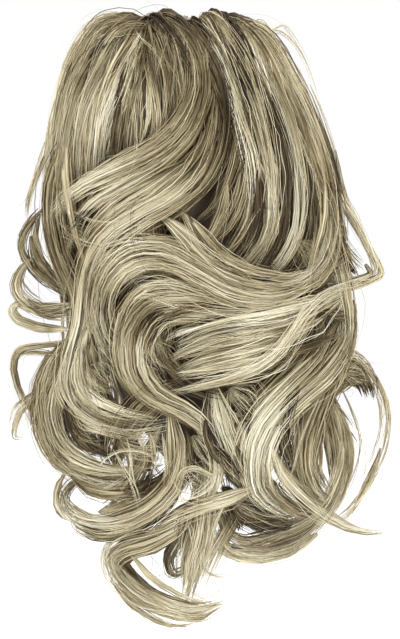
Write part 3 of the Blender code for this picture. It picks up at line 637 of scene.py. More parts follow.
# the fountain on the left
leftLocks = locksFrom(
    (17, 9, (0.46, 0.72, 0.74, 0.6), (126, 13), (101, 20), (83, 40), (69, 70), (58, 110), (52, 152),
     (50, 192, 0.93), (52, 232, 0.85)),
    (22, 10, (0.42, 0.68, 0.74, 0.58), (131, 14), (108, 27), (91, 56), (76, 92), (67, 132), (62, 172, 0.97),
     (66, 212, 0.84)),
    (24, 10, (0.34, 0.62, 0.74, 0.6), (136, 17), (117, 37), (100, 70), (86, 107), (78, 147),
     (76, 192, 0.84)),
    (24, 10, (0.3, 0.56, 0.84, 0.66), (140, 19), (127, 48), (114, 85), (104, 122), (98, 172, 0.84)),
    (20, 9, (0.24, 0.4, 0.52, 0.45), (144, 18), (139, 50), (134, 90, 0.98), (131, 128, 0.96),
     (130, 168, 0.84)),
    (20, 9, (0.28, 0.42, 0.56, 0.55), (149, 17), (153, 50), (155, 90, 0.98), (153, 130, 0.96),
     (148, 170, 0.84)),
    # finer locks that lie between the main ones
    (8, 6, 0.64, (149, 66, 1.02), (150, 98, 1.03), (147, 126, 1.03), (138, 150, 1.02)),
    (10, 6, 0.74, (112, 27, 1.02), (94, 44, 1.03), (80, 72, 1.03), (70, 104, 1.02)),
    (15, 8, (0.36, 0.52, 0.56, 0.46), (129, 14), (104, 23), (84, 48), (70, 81), (60, 121), (54, 162, 0.98),
     (54, 204, 0.9)),
    (16, 8, (0.36, 0.6, 0.58, 0.48), (134, 16), (112, 31), (93, 62), (78, 100), (70, 140, 0.99),
     (68, 180, 0.95), (72, 212, 0.88)),
    (16, 8, (0.36, 0.6, 0.66, 0.5), (138, 18), (122, 42), (107, 78), (95, 115), (89, 150, 0.97),
     (88, 184, 0.9)),
    (16, 8, (0.24, 0.36, 0.44, 0.4), (143, 22, 0.98), (137, 60, 0.98), (129, 92, 0.97), (121, 127, 0.96),
     (114, 158, 0.93), (112, 182, 0.88)),
    (15, 8, (0.38, 0.66, 0.72, 0.56), (141, 19), (132, 50), (124, 85), (114, 120), (106, 158, 0.94)),
    (15, 8, (0.26, 0.4, 0.52, 0.5), (147, 17, 0.98), (146, 55, 0.99), (144, 95, 0.98), (142, 135, 0.96),
     (139, 168, 0.9)),
    (15, 8, (0.28, 0.34, 0.46, 0.5), (152, 16, 0.96), (163, 50, 0.97), (168, 92, 0.96), (164, 132, 0.95),
     (155, 164, 0.9)),
    (7, 6, 0.62, (128, 12), (106, 17), (88, 31), (72, 54), (61, 86), (52, 122), (46, 160, 0.9),
     (46, 200, 0.8), (49, 236, 0.75)),
)

# what falls from the right root, with the sweeps that cross to the lower left
fallLocks = locksFrom(
    (20, 9, (0.3, 0.3, 0.42, 0.45), (157, 14), (170, 40, 0.97), (177, 75, 0.95), (177, 110, 0.93),
     (168, 150, 0.84)),
    (20, 10, (0.48, 0.4, 0.44, 0.64, 0.84, 0.72, 0.6), (176, 13), (190, 36), (200, 66, 1.02),
     (199, 98, 1.04), (184, 129, 1.06), (152, 156, 1.07), (112, 174, 1.07), (76, 192, 1.05), (55, 213, 1.02),
     (49, 238), (55, 266, 0.98), (66, 294, 0.88)),
    (16, 9, (0.48, 0.3, 0.36, 0.64), (192, 16), (205, 48), (208, 84), (200, 120, 1.02), (180, 150, 1.04),
     (150, 171, 1.04), (118, 187, 1.03), (92, 204, 0.88)),
    (26, 12, (0.54, 0.36, 0.24, 0.26, 0.56, 0.8, 0.82, 0.7, 0.58, 0.66, 0.84), (200, 14), (214, 60, 0.96),
     (219, 100, 0.96), (214, 140, 0.98), (198, 175, 1.02), (170, 200, 1.05), (138, 217, 1.06),
     (110, 237, 1.06), (93, 263, 1.05), (85, 293, 1.04), (80, 325, 1.02), (71, 355), (67, 382),
     (77, 405, 1.02), (102, 421, 1.04), (137, 430, 1.04), (172, 424, 1.02)),
    (18, 10, (0.6, 0.76, 0.84, 0.82, 0.84, 0.74), (206, 13), (218, 48), (230, 86), (241, 126), (250, 166),
     (250, 202), (239, 232, 0.96), (219, 254, 0.86)),
    (24, 11, (0.56, 0.58, 0.68, 0.7, 0.56), (216, 12), (232, 46), (247, 86), (259, 126), (267, 166),
     (268, 206), (260, 241), (240, 268, 0.95), (214, 282, 0.86)),
    (17, 11, (0.52, 0.56, 0.7, 0.78, 0.66), (234, 14), (254, 45), (271, 85), (285, 123), (295, 162),
     (298, 202), (293, 236), (279, 264, 0.96), (255, 281, 0.88)),
    (20, 10, (0.54, 0.58, 0.68, 0.76, 0.7), (242, 16), (267, 42), (289, 80), (306, 120), (318, 160),
     (326, 200), (327, 237), (315, 267, 1.02), (290, 286, 1.03), (258, 294, 1.05)),
    (9, 9, (0.5, 0.56, 0.62, 0.72, 0.74, 0.66), (248, 17), (273, 37), (289, 64), (303, 99), (318, 134),
     (331, 171, 0.98), (341, 200, 0.95), (352, 217, 0.92), (363, 238, 0.9), (373, 258, 0.9),
     (376, 271, 0.93), (366, 279, 0.96), (345, 286), (318, 298, 1.04)),
    # finer locks that lie between the main ones
    (15, 7, 0.5, (228, 176, 0.98), (223, 208), (211, 236, 1.02), (192, 258, 1.02)),
    (12, 7, 0.52, (252, 188), (249, 218, 1.02), (237, 244, 1.02), (219, 263)),
    (10, 7, (0.54, 0.74, 0.78, 0.66), (240, 24, 1.03), (252, 46, 1.05), (263, 80, 1.05), (270, 112, 1.03),
     (275, 140)),
    (18, 8, 0.26, (232, 50, 0.94), (239, 100, 0.95), (237, 150, 0.96), (226, 182, 0.98), (210, 208, 0.98),
     (190, 226, 0.97)),
    (18, 8, 0.4, (238, 90, 0.95), (246, 130, 0.96), (245, 165, 0.97), (237, 198, 0.99), (221, 225),
     (198, 247)),
    (16, 8, 0.34, (214, 20, 0.98), (222, 60, 0.95), (226, 105, 0.95), (222, 146, 0.96), (208, 180, 0.98),
     (184, 208, 0.99), (160, 228, 0.98)),
    (16, 8, (0.5, 0.36, 0.48, 0.78, 0.74), (166, 12), (183, 30), (193, 60, 1.02), (192, 90, 1.04),
     (180, 118, 1.07), (155, 143, 1.09), (118, 162, 1.09), (86, 180, 1.07), (64, 200, 1.04), (56, 222)),
    (16, 8, (0.46, 0.3, 0.28, 0.46, 0.72, 0.62, 0.5), (188, 22), (203, 62), (203, 100, 1.02),
     (191, 135, 1.03), (165, 160, 1.04), (130, 180, 1.04), (98, 200, 1.03), (76, 225), (67, 252, 0.97),
     (70, 284, 0.92)),
    (18, 8, (0.36, 0.66, 0.56, 0.4), (188, 160), (152, 186, 1.05), (121, 204, 1.05), (98, 226, 1.02),
     (85, 252, 0.98), (78, 282, 0.92)),
    (16, 8, (0.3, 0.24, 0.2, 0.32, 0.84, 0.8), (204, 30), (215, 74, 0.98), (213, 118, 0.99),
     (199, 156, 1.02), (171, 187, 1.05), (138, 209, 1.05), (112, 230, 1.04), (95, 256, 1.02)),
    (16, 8, 0.3, (216, 66, 0.94), (223, 108, 0.94), (217, 150, 0.94), (202, 186, 0.95), (182, 216, 0.95),
     (168, 240, 0.93)),
    (18, 8, (0.42, 0.36, 0.34, 0.3, 0.34), (211, 12), (224, 48, 0.99), (237, 86, 0.99), (249, 126, 0.99),
     (258, 166, 0.99), (260, 204, 0.99), (251, 238, 0.97), (231, 262, 0.93), (210, 277, 0.87)),
    (18, 8, (0.34, 0.2, 0.22, 0.14, 0.2, 0.36), (226, 13), (243, 46, 0.99), (260, 86, 0.99),
     (273, 125, 0.99), (283, 164, 0.99), (286, 204, 0.99), (279, 240, 0.98), (262, 266, 0.95),
     (238, 279, 0.9)),
    (18, 8, (0.42, 0.44, 0.42, 0.3, 0.26), (239, 15), (261, 44, 0.99), (280, 83, 0.99), (296, 122, 0.99),
     (308, 161, 0.99), (314, 201, 0.99), (311, 238, 0.99), (298, 266, 0.99), (274, 285)),
    (18, 8, (0.38, 0.42, 0.44, 0.46, 0.5), (247, 16), (272, 40), (296, 84), (313, 125), (327, 165, 0.99),
     (336, 205, 0.98), (340, 240, 0.98), (331, 268), (308, 287, 1.03)),
    (10, 7, (0.56, 0.6, 0.66, 0.72, 0.62), (228, 14, 1.02), (241, 50, 1.02), (255, 92, 1.02),
     (264, 132, 1.02), (270, 172, 1.02), (271, 210, 1.02), (262, 243), (243, 266, 0.96)),
    (12, 7, 0.6, (252, 150, 0.98), (268, 188), (272, 222), (262, 252, 0.98), (243, 273, 0.92)),
    (7, 6, 0.6, (238, 13), (266, 30), (286, 54), (303, 90), (319, 128, 0.96), (331, 166, 0.9),
     (336, 205, 0.8), (341, 245, 0.75), (348, 285, 0.8)),
)

# the swirl in the middle
swirlLocks = locksFrom(
    (18, 9, (0.6, 0.74, 0.76, 0.78), (366, 264, 0.9), (371, 275, 0.94), (350, 285), (322, 297, 1.05),
     (301, 316, 1.08), (286, 340, 1.1), (262, 364, 1.1), (230, 379, 1.1), (198, 387, 1.08), (170, 393)),
    (28, 12, (0.56, 0.66, 0.78, 0.66, 0.52), (322, 272, 1.02), (297, 291, 1.05), (262, 298, 1.08),
     (226, 290, 1.09), (196, 272, 1.09), (165, 256, 1.09), (135, 256, 1.09), (113, 270, 1.08),
     (101, 293, 1.06), (99, 318, 1.04), (107, 342, 1.02), (126, 357)),
    (20, 11, (0.66, 0.74, 0.66, 0.46, 0.54, 0.6, 0.44, 0.32), (318, 296, 1.03), (290, 304, 1.06),
     (252, 308, 1.07), (215, 306, 1.07), (180, 300, 1.06), (150, 306, 1.05), (132, 326, 1.04),
     (126, 352, 1.03), (130, 378, 1.03), (146, 397, 1.04), (175, 411, 1.05), (200, 426, 1.04), (214, 448),
     (214, 470, 0.96)),
    (34, 11, 0.74, (344, 296, 0.96), (312, 310, 1.02), (278, 322, 1.04), (240, 326, 1.05), (205, 333, 1.04),
     (174, 346)),
    (34, 11, 0.66, (300, 330, 1.03), (268, 348, 1.05), (235, 358, 1.06), (203, 364, 1.05), (176, 374)),
    # finer locks that lie between the main ones
    (10, 6, 0.76, (264, 356, 1.1), (238, 366, 1.1), (208, 371, 1.09), (180, 375, 1.06)),
    (9, 6, 0.76, (236, 303, 1.09), (202, 292, 1.1), (172, 283, 1.1), (147, 285, 1.09), (129, 300, 1.07),
     (121, 320, 1.04)),
    (26, 7, 0.72, (158, 214), (177, 228, 1.04), (196, 246, 1.06), (218, 263, 1.07), (248, 276, 1.07),
     (285, 281, 1.06), (320, 268, 1.03)),
    (20, 7, 0.64, (182, 212), (196, 228, 1.04), (209, 246, 1.06), (227, 262, 1.07), (253, 273, 1.06),
     (284, 276, 1.03)),
    (22, 9, 0.58, (326, 258), (300, 280, 1.03), (262, 289, 1.05), (228, 280, 1.06), (200, 261, 1.06),
     (172, 245, 1.05), (140, 243, 1.04), (111, 256, 1.03), (94, 282, 1.02), (90, 314), (97, 345, 0.99),
     (114, 370, 0.97)),
    (18, 9, (0.62, 0.74, 0.82, 0.66, 0.5), (306, 290, 1.05), (266, 301, 1.08), (232, 295, 1.1),
     (205, 281, 1.11), (176, 267, 1.11), (149, 263, 1.1), (126, 273, 1.09), (112, 297, 1.07),
     (112, 325, 1.05), (122, 348, 1.02)),
    (18, 9, 0.54, (294, 299, 1.05), (248, 304, 1.06), (206, 295, 1.06), (171, 287, 1.06), (143, 294, 1.05),
     (125, 315, 1.03), (118, 345, 1.01), (122, 372), (138, 392, 1.01), (162, 405, 1.02), (188, 414)),
    (16, 8, 0.66, (300, 312, 1.05), (250, 316, 1.07), (212, 316, 1.07), (178, 314, 1.06), (156, 322, 1.05),
     (144, 345, 1.03), (147, 372, 1.02), (161, 392, 1.03), (184, 405, 1.04), (205, 420, 1.03), (222, 446)),
    (14, 8, 0.84, (330, 298, 1.03), (300, 305, 1.07), (262, 313, 1.09), (225, 319, 1.09), (190, 329, 1.07),
     (160, 342, 1.02)),
    (14, 8, 0.58, (318, 312, 1.03), (298, 322, 1.06), (262, 334, 1.08), (228, 342, 1.08), (196, 350, 1.06),
     (170, 360)),
    (14, 8, 0.78, (314, 322, 1.03), (292, 338, 1.06), (258, 353, 1.08), (226, 362, 1.08), (196, 370, 1.06),
     (172, 382)),
    (14, 8, 0.3, (306, 336), (285, 352, 1.04), (250, 369, 1.06), (218, 379, 1.05), (188, 384)),
    (16, 8, 0.52, (332, 190), (338, 222), (334, 253, 1.02), (319, 278, 1.05), (293, 291, 1.08),
     (262, 297, 1.09)),
    (8, 6, 0.7, (336, 150, 0.9), (346, 200, 0.85), (362, 235, 0.8), (377, 262, 0.8), (380, 276, 0.85),
     (362, 284, 0.95), (340, 289, 1.02), (318, 300, 1.06), (304, 318, 1.08), (292, 334, 1.1)),
    (22, 9, 0.18, (128, 300, 0.97), (150, 312, 0.97), (166, 330, 0.97), (160, 352, 0.97), (172, 372, 0.97),
     (205, 392, 0.96), (240, 400, 0.95)),
)

# the hair behind, the small loops and curls at both sides and the tail
underLocks = locksFrom(
    (30, 14, 0.42, (76, 118, 0.88), (60, 165, 0.94), (55, 210, 0.95), (62, 250, 0.96), (78, 288, 0.96),
     (80, 326, 0.96), (68, 366, 0.92)),
    (28, 14, 0.56, (304, 140, 0.88), (319, 190, 0.92), (329, 238, 0.92), (341, 288, 0.92), (346, 332, 0.95),
     (334, 380, 0.95)),
    (34, 14, 0.25, (172, 172, 0.88), (148, 212, 0.94), (152, 248, 0.96), (178, 282, 0.96), (196, 316, 0.92)),
    (34, 14, 0.32, (184, 380, 0.92), (150, 402, 0.96), (122, 436, 0.96), (112, 474, 0.9)),
    (8, 7, (0.34, 0.34, 0.42, 0.5), (46, 205, 0.8), (28, 226, 0.6), (21, 246, 0.5), (28, 265, 0.55),
     (45, 282, 0.7), (66, 294, 0.85)),
    (12, 7, 0.72, (34, 256, 0.7), (21, 269, 0.5), (16, 287, 0.45), (26, 302, 0.5), (46, 312, 0.65),
     (72, 317, 0.85)),
    (7, 6, 0.72, (72, 330, 0.85), (42, 329, 0.55), (19, 321, 0.4), (11, 310, 0.35), (19, 304, 0.4),
     (34, 309, 0.5), (62, 305, 0.85)),
    (7, 6, 0.55, (72, 342, 0.85), (38, 346, 0.6), (19, 351, 0.5), (13, 366, 0.5), (17, 386, 0.5),
     (30, 411, 0.6), (46, 437, 0.75), (64, 460, 0.85)),
    (22, 16, (0.48, 0.54, 0.64, 0.62), (70, 336, 0.8), (52, 362, 0.75), (43, 395, 0.75), (48, 430, 0.8),
     (62, 457, 0.85), (84, 476, 0.9), (112, 485, 0.9), (142, 484, 0.85)),
    (20, 14, 0.58, (74, 350, 0.9), (57, 385, 0.9), (53, 415, 0.9), (61, 442, 0.95), (80, 460, 0.97),
     (106, 469, 0.97), (136, 470, 0.95), (162, 462, 0.9)),
    (21, 13, (0.66, 0.8, 0.66, 0.76, 0.74, 0.44), (178, 425, 0.9), (181, 455), (173, 485, 1.04),
     (151, 508, 1.04), (120, 521), (90, 522, 0.95), (68, 509, 0.85), (61, 490, 0.75), (68, 474, 0.7)),
    (14, 10, 0.4, (172, 505, 0.9), (136, 528, 0.95), (105, 536, 0.93), (80, 529, 0.88), (72, 515, 0.8)),
    (26, 13, (0.62, 0.6, 0.4, 0.56, 0.72, 0.66), (200, 495, 0.9), (182, 523), (154, 539), (127, 547, 0.98),
     (114, 559, 0.92), (120, 577, 0.9), (139, 595, 0.92), (165, 606, 0.95), (192, 610, 0.95),
     (219, 603, 0.9)),
    (6, 5, 0.55, (124, 549, 0.95), (137, 562, 0.95), (151, 577, 0.95), (171, 590, 0.95), (193, 600, 0.95),
     (214, 604, 0.9)),
    (22, 14, 0.6, (205, 465, 0.85), (206, 505, 0.98), (200, 540), (192, 572), (187, 600, 0.95)),
    (12, 9, 0.35, (190, 508, 0.6), (178, 540, 0.6), (168, 558, 0.6), (173, 574, 0.6), (186, 569, 0.6),
     (190, 553, 0.7)),
    (32, 14, (0.26, 0.5, 0.76, 0.8, 0.56), (352, 300, 0.85), (346, 338, 0.92), (323, 372, 0.98),
     (291, 400, 1.02), (266, 427, 1.06), (254, 458, 1.06), (257, 487, 1.03), (277, 508), (302, 520, 0.9)),
    (22, 13, 0.48, (354, 325, 0.85), (339, 364, 0.9), (323, 400, 0.95), (313, 432, 0.98), (309, 460, 0.98),
     (316, 486, 0.95), (332, 502, 0.9)),
    (14, 9, 0.7, (270, 438, 1.04), (280, 470, 1.05), (300, 494, 1.05), (324, 513), (345, 526, 0.9),
     (366, 533, 0.75), (388, 533, 0.6)),
    (5, 5, 0.62, (340, 340, 0.7), (371, 371, 0.55), (386, 403, 0.45), (385, 440, 0.45), (372, 474, 0.5)),
    (18, 12, 0.56, (320, 395, 0.85), (340, 420, 0.8), (347, 452, 0.75), (342, 485, 0.75), (326, 514, 0.8),
     (300, 539, 0.85), (264, 551, 0.87), (232, 543, 0.85)),
    (22, 10, (0.8, 0.48, 0.26, 0.36), (314, 394, 0.85), (329, 371, 0.85), (346, 359, 0.8), (361, 364, 0.7),
     (373, 382, 0.65), (374, 398, 0.62)),
    (20, 13, (0.76, 0.84, 0.54, 0.2), (213, 380, 0.9), (219, 415, 0.98), (228, 445), (243, 473),
     (264, 495, 0.95)),
    (16, 11, 0.62, (262, 485), (230, 499, 1.04), (197, 508, 1.05), (170, 521, 1.02), (150, 536, 0.95)),
    # finer locks that lie between the main ones
    (11, 7, 0.38, (250, 557, 0.88), (233, 554, 0.88), (222, 546, 0.88), (217, 533, 0.88)),
    (14, 8, 0.28, (326, 214, 0.86), (335, 238, 0.87), (344, 260, 0.88), (357, 275, 0.88)),
    (14, 8, (0.44, 0.28, 0.3), (333, 397, 0.82), (342, 386, 0.8), (352, 379, 0.78), (362, 384, 0.74),
     (367, 397, 0.72)),
    (7, 6, 0.56, (381, 448, 0.5), (371, 478, 0.5), (356, 504, 0.6), (334, 526, 0.72)),
    (16, 8, 0.6, (146, 590, 0.93), (172, 606, 0.94), (200, 612, 0.92), (225, 603, 0.9)),
    (14, 8, 0.2, (232, 496, 0.9), (238, 514, 0.9), (238, 532, 0.9)),
    (15, 8, 0.68, (318, 534, 0.86), (290, 549, 0.87), (262, 555, 0.88), (238, 554, 0.88), (221, 545, 0.88),
     (214, 532, 0.88)),
    (12, 8, 0.4, (98, 512, 0.92), (116, 508, 0.93), (136, 500, 0.94), (152, 488, 0.94)),
    (16, 8, 0.36, (30, 236, 0.6), (36, 258, 0.6), (50, 278, 0.7), (68, 297, 0.82)),
    (14, 8, 0.44, (26, 300, 0.55), (42, 309, 0.65), (58, 309, 0.75), (74, 304, 0.85)),
    (5, 5, (0.6, 0.44), (64, 356, 0.85), (42, 353, 0.65), (24, 353, 0.55), (15, 361, 0.5)),
    (18, 8, 0.34, (212, 488, 0.92), (220, 510, 0.9), (226, 528, 0.88), (222, 546, 0.88)),
    (18, 8, 0.14, (286, 396, 0.92), (284, 424, 0.9), (287, 452, 0.9), (298, 478, 0.9)),
    (10, 7, 0.4, (315, 420, 0.9), (318, 444, 0.88), (317, 470, 0.87), (327, 492, 0.87)),
    (13, 8, 0.44, (316, 176, 0.88), (328, 206, 0.9), (338, 232, 0.88), (350, 252, 0.86), (364, 268, 0.86)),
    (8, 7, 0.24, (100, 478, 0.92), (78, 480, 0.88), (66, 492, 0.85), (65, 507, 0.85), (78, 518, 0.9)),
    (18, 8, 0.38, (260, 466, 0.98), (272, 490, 0.98), (294, 508, 0.96), (320, 518, 0.9)),
    (15, 8, 0.4, (312, 380, 0.92), (322, 406, 0.88), (328, 430, 0.87), (332, 452, 0.86), (334, 478, 0.86)),
    (16, 8, 0.34, (320, 394, 0.85), (335, 376, 0.82), (350, 369, 0.78), (364, 378, 0.72), (371, 393, 0.7)),
    (15, 9, 0.6, (330, 502, 0.88), (306, 521, 0.87), (276, 534, 0.87), (250, 541, 0.88), (232, 536, 0.88),
     (222, 524, 0.88)),
    (20, 9, 0.36, (68, 471, 0.9), (88, 487, 0.93), (112, 493, 0.95), (138, 491, 0.95), (160, 480, 0.95),
     (174, 462, 0.95)),
    (26, 10, 0.16, (226, 486, 0.94), (240, 506, 0.94), (262, 520, 0.93), (292, 522, 0.9)),
    (9, 7, 0.54, (118, 584, 0.9), (138, 601, 0.92), (164, 613, 0.93), (192, 619, 0.9), (214, 617, 0.86)),
    (16, 9, 0.74, (87, 330, 1.02), (80, 360), (82, 384), (96, 402, 1.02), (124, 415, 1.04),
     (156, 419, 1.03)),
    (13, 9, (0.44, 0.5, 0.5, 0.66, 0.7), (72, 325, 0.96), (63, 356, 0.95), (60, 384, 0.95), (70, 406, 0.97),
     (92, 424), (122, 436), (152, 438, 0.97)),
    (16, 9, 0.54, (58, 360, 0.85), (51, 400, 0.85), (55, 436, 0.88), (71, 462, 0.92), (100, 476, 0.93),
     (134, 479, 0.9)),
    (11, 9, 0.58, (48, 350, 0.7), (40, 378, 0.65), (36, 410, 0.65), (39, 434, 0.68), (52, 458, 0.75),
     (70, 474, 0.82), (92, 484, 0.85)),
    (18, 9, 0.5, (168, 405, 0.95), (174, 440, 0.98), (174, 470, 0.99), (168, 500, 0.99), (156, 522, 0.95)),
    (18, 9, 0.46, (162, 424, 0.92), (152, 446, 0.94), (140, 470, 0.95), (126, 492, 0.92), (106, 508, 0.85)),
    (16, 9, 0.2, (204, 394, 0.94), (212, 426, 0.97), (222, 452, 0.98), (236, 480, 0.98), (256, 503, 0.92)),
    (13, 8, 0.66, (186, 420, 0.98), (205, 431, 1.02), (216, 455, 1.03), (215, 482, 1.02), (204, 503),
     (188, 517, 0.95)),
    (18, 10, (0.3, 0.56, 0.7, 0.66), (340, 318, 0.92), (316, 358, 0.97), (286, 385, 1.01), (262, 410, 1.04),
     (245, 436, 1.05), (239, 465, 1.05), (247, 493, 1.02), (268, 513, 0.97)),
    (16, 10, (0.36, 0.5, 0.76, 0.8, 0.7, 0.56), (356, 304, 0.9), (351, 345, 0.95), (330, 378),
     (301, 403, 1.04), (278, 429, 1.06), (268, 460, 1.06), (272, 488, 1.04), (292, 509, 0.98)),
    (18, 9, 0.42, (344, 345, 0.88), (327, 385, 0.93), (313, 413, 0.96), (302, 440, 0.97), (300, 470, 0.97),
     (310, 493, 0.94), (330, 510, 0.88)),
    (11, 9, 0.54, (334, 395, 0.8), (344, 426, 0.76), (349, 456, 0.74), (343, 487, 0.75), (328, 514, 0.8),
     (304, 536, 0.84)),
    (11, 9, 0.6, (322, 386, 0.88), (334, 411, 0.85), (339, 441, 0.84), (336, 471, 0.85), (325, 499, 0.87),
     (303, 522, 0.9)),
    (15, 9, 0.58, (208, 455, 0.88), (211, 492, 0.92), (209, 528, 0.95), (202, 558, 0.97), (194, 586, 0.95),
     (187, 606, 0.9)),
    (13, 8, 0.5, (206, 460, 0.84), (197, 500, 0.86), (186, 532, 0.88), (180, 560, 0.9), (180, 590, 0.88)),
    (12, 8, 0.52, (250, 478, 0.86), (238, 512, 0.9), (222, 540, 0.93), (208, 566, 0.93), (196, 592, 0.88)),
    (7, 5, 0.6, (110, 580, 0.9), (129, 603, 0.92), (152, 620, 0.92), (179, 628, 0.92), (208, 622, 0.85)),
    (5, 4, 0.5, (67, 470, 0.75), (58, 487, 0.7), (57, 503, 0.7), (65, 516, 0.78), (79, 521, 0.8)),
    (4, 4, 0.68, (46, 386, 0.6), (29, 399, 0.5), (17, 410, 0.45), (12, 428, 0.45)),
    (4, 4, 0.66, (40, 398, 0.6), (22, 409, 0.5), (14, 424, 0.45), (13, 437, 0.45), (24, 438, 0.5)),
    (5, 4, 0.55, (46, 150, 0.8), (39, 170, 0.7), (31, 190, 0.6), (27, 208, 0.55), (28, 222, 0.55)),
    (6, 5, 0.45, (40, 214, 0.7), (34, 240, 0.6), (41, 262, 0.65), (60, 286, 0.8)),
    (22, 10, 0.34, (100, 300, 0.93), (90, 340, 0.93), (96, 385, 0.93), (112, 420, 0.94), (140, 455, 0.94),
     (160, 480, 0.9)),
    (26, 10, 0.3, (300, 290, 0.92), (318, 330, 0.92), (300, 365, 0.93), (268, 395, 0.94), (240, 425, 0.95),
     (226, 460, 0.95), (230, 495, 0.92)),
)

# painted shade: dark strands laid over the partings between the locks, where shade falls
paintedShadeLocks = locksFrom(
    (13, 6, 0.03, (69, 422, 1.08), (79, 440, 1.08), (96, 452, 1.07)),
    (9, 5, 0.3, (216, 140, 1.06), (207, 162, 1.07), (192, 182, 1.07), (174, 198, 1.06)),
    (7, 5, 0.2, (232, 305, 1.09), (205, 308, 1.1), (178, 313, 1.1), (157, 323, 1.09)),
    (8, 5, 0.28, (189, 500, 1.05), (182, 520, 1.06), (177, 542, 1.04)),
    (8, 5, 0.06, (236, 446, 1.09), (241, 462, 1.09), (244, 480, 1.07)),
    (6, 5, 0.12, (253, 402, 1.06), (247, 420, 1.08), (243, 438, 1.08)),
    (7, 5, 0.22, (137, 26, 1.05), (129, 44, 1.07), (121, 66, 1.06)),
    (7, 5, 0.18, (126, 24, 1.05), (111, 34, 1.07), (98, 48, 1.07), (86, 66, 1.05)),
    (18, 7, 0.02, (66, 394, 1.02), (72, 416, 1.06), (82, 434, 1.06), (98, 449, 1.04), (126, 456)),
    (12, 6, 0.04, (300, 386, 1.07), (288, 406, 1.11), (283, 430, 1.12), (288, 456, 1.1)),
    (7, 6, 0.06, (240, 392, 1.04), (245, 402, 1.05), (246, 414, 1.05), (242, 428, 1.04)),
    (7, 5, 0.1, (121, 96), (118, 122, 1.01), (115, 146, 1.01), (114, 164)),
    (13, 6, 0.02, (231, 24, 1.1), (236, 46, 1.12), (242, 68, 1.12), (250, 88, 1.1), (258, 110, 1.06)),
    (7, 5, 0.06, (205, 56, 1.05), (212, 80, 1.07), (221, 103, 1.07), (228, 132, 1.06), (229, 154, 1.03)),
    (8, 6, 0.08, (266, 100, 1.05), (275, 132, 1.07), (282, 166, 1.07), (285, 200, 1.07), (281, 230, 1.04)),
    (10, 6, 0.14, (164, 20, 1.03), (177, 38, 1.05), (188, 58, 1.05), (193, 80, 1.05), (194, 100, 1.04)),
    (7, 5, 0.08, (258, 170, 1.05), (259, 200, 1.07), (255, 226, 1.07), (248, 244, 1.03)),
    (9, 6, 0.02, (303, 150, 1.03), (308, 184, 1.05), (311, 216, 1.06), (309, 244, 1.06), (300, 264, 1.04)),
    (7, 6, 0.08, (243, 232, 0.99), (241, 248), (233, 263, 0.99)),
    (7, 6, 0.1, (275, 246, 0.99), (268, 259), (257, 270, 0.99)),
    (16, 8, 0.22, (226, 130, 0.98), (214, 160, 0.99), (202, 186, 1.01), (182, 210, 1.02)),
    (9, 7, 0.16, (96, 208, 1.03), (84, 214, 1.03), (73, 224, 1.02), (66, 238), (63, 252, 0.98)),
    (10, 7, 0.08, (118, 284, 1.06), (110, 300, 1.05), (107, 320, 1.03), (111, 340, 1.02)),
    (11, 6, 0.06, (186, 308, 1.06), (160, 314, 1.06), (147, 334, 1.06), (148, 358, 1.05), (158, 380, 1.04)),
    (10, 7, 0.1, (172, 312, 1.04), (161, 328, 1.03), (162, 350, 1.02), (172, 372, 1.03), (186, 386, 1.02)),
    (9, 8, 0.08, (92, 334), (90, 352, 1.01), (93, 368, 1.01), (100, 382, 1.01)),
    (7, 8, 0.22, (252, 354, 1.08), (276, 355, 1.09), (300, 349, 1.08), (322, 341, 1.03), (344, 331, 0.97)),
    (8, 6, 0.1, (296, 312, 1.07), (318, 314, 1.05), (340, 316), (352, 326, 0.95)),
    (22, 9, 0.04, (222, 486, 0.98), (236, 504), (256, 517), (280, 524, 0.95), (304, 524, 0.9)),
    (6, 5, 0.1, (150, 18), (147, 58, 1.01), (145, 100, 1.01), (146, 145, 0.99)),
    (5, 5, 0.16, (131, 46), (122, 84, 1.01), (116, 124, 1.01), (113, 160, 0.99)),
    (5, 5, 0.16, (100, 46), (86, 84, 1.01), (77, 124, 1.01), (73, 166, 0.99)),
    (5, 6, 0.42, (296, 104, 1.03), (306, 136, 1.04), (314, 168, 1.04), (324, 200, 1.03), (330, 230, 1.02)),
    (12, 8, 0.03, (205, 420, 1.08), (208, 436, 1.09), (215, 452, 1.09), (228, 465, 1.09), (240, 480, 1.06)),
    (12, 8, 0.06, (186, 430), (192, 450, 1.02), (192, 472, 1.02), (184, 490)),
    (10, 7, 0.08, (152, 470), (146, 486), (128, 494, 0.98), (104, 492, 0.95)),
    (6, 5, 0.12, (292, 308, 1.07), (248, 313, 1.08), (206, 318, 1.08), (172, 330, 1.06)),
    (6, 5, 0.3, (188, 214, 1.05), (202, 240, 1.07), (222, 262, 1.08), (252, 277, 1.08), (290, 284, 1.06)),
    (3, 5, 0.4, (106, 250, 1.07), (124, 246, 1.08), (152, 252, 1.09), (182, 272, 1.1), (212, 290, 1.1),
     (248, 300, 1.09)),
)

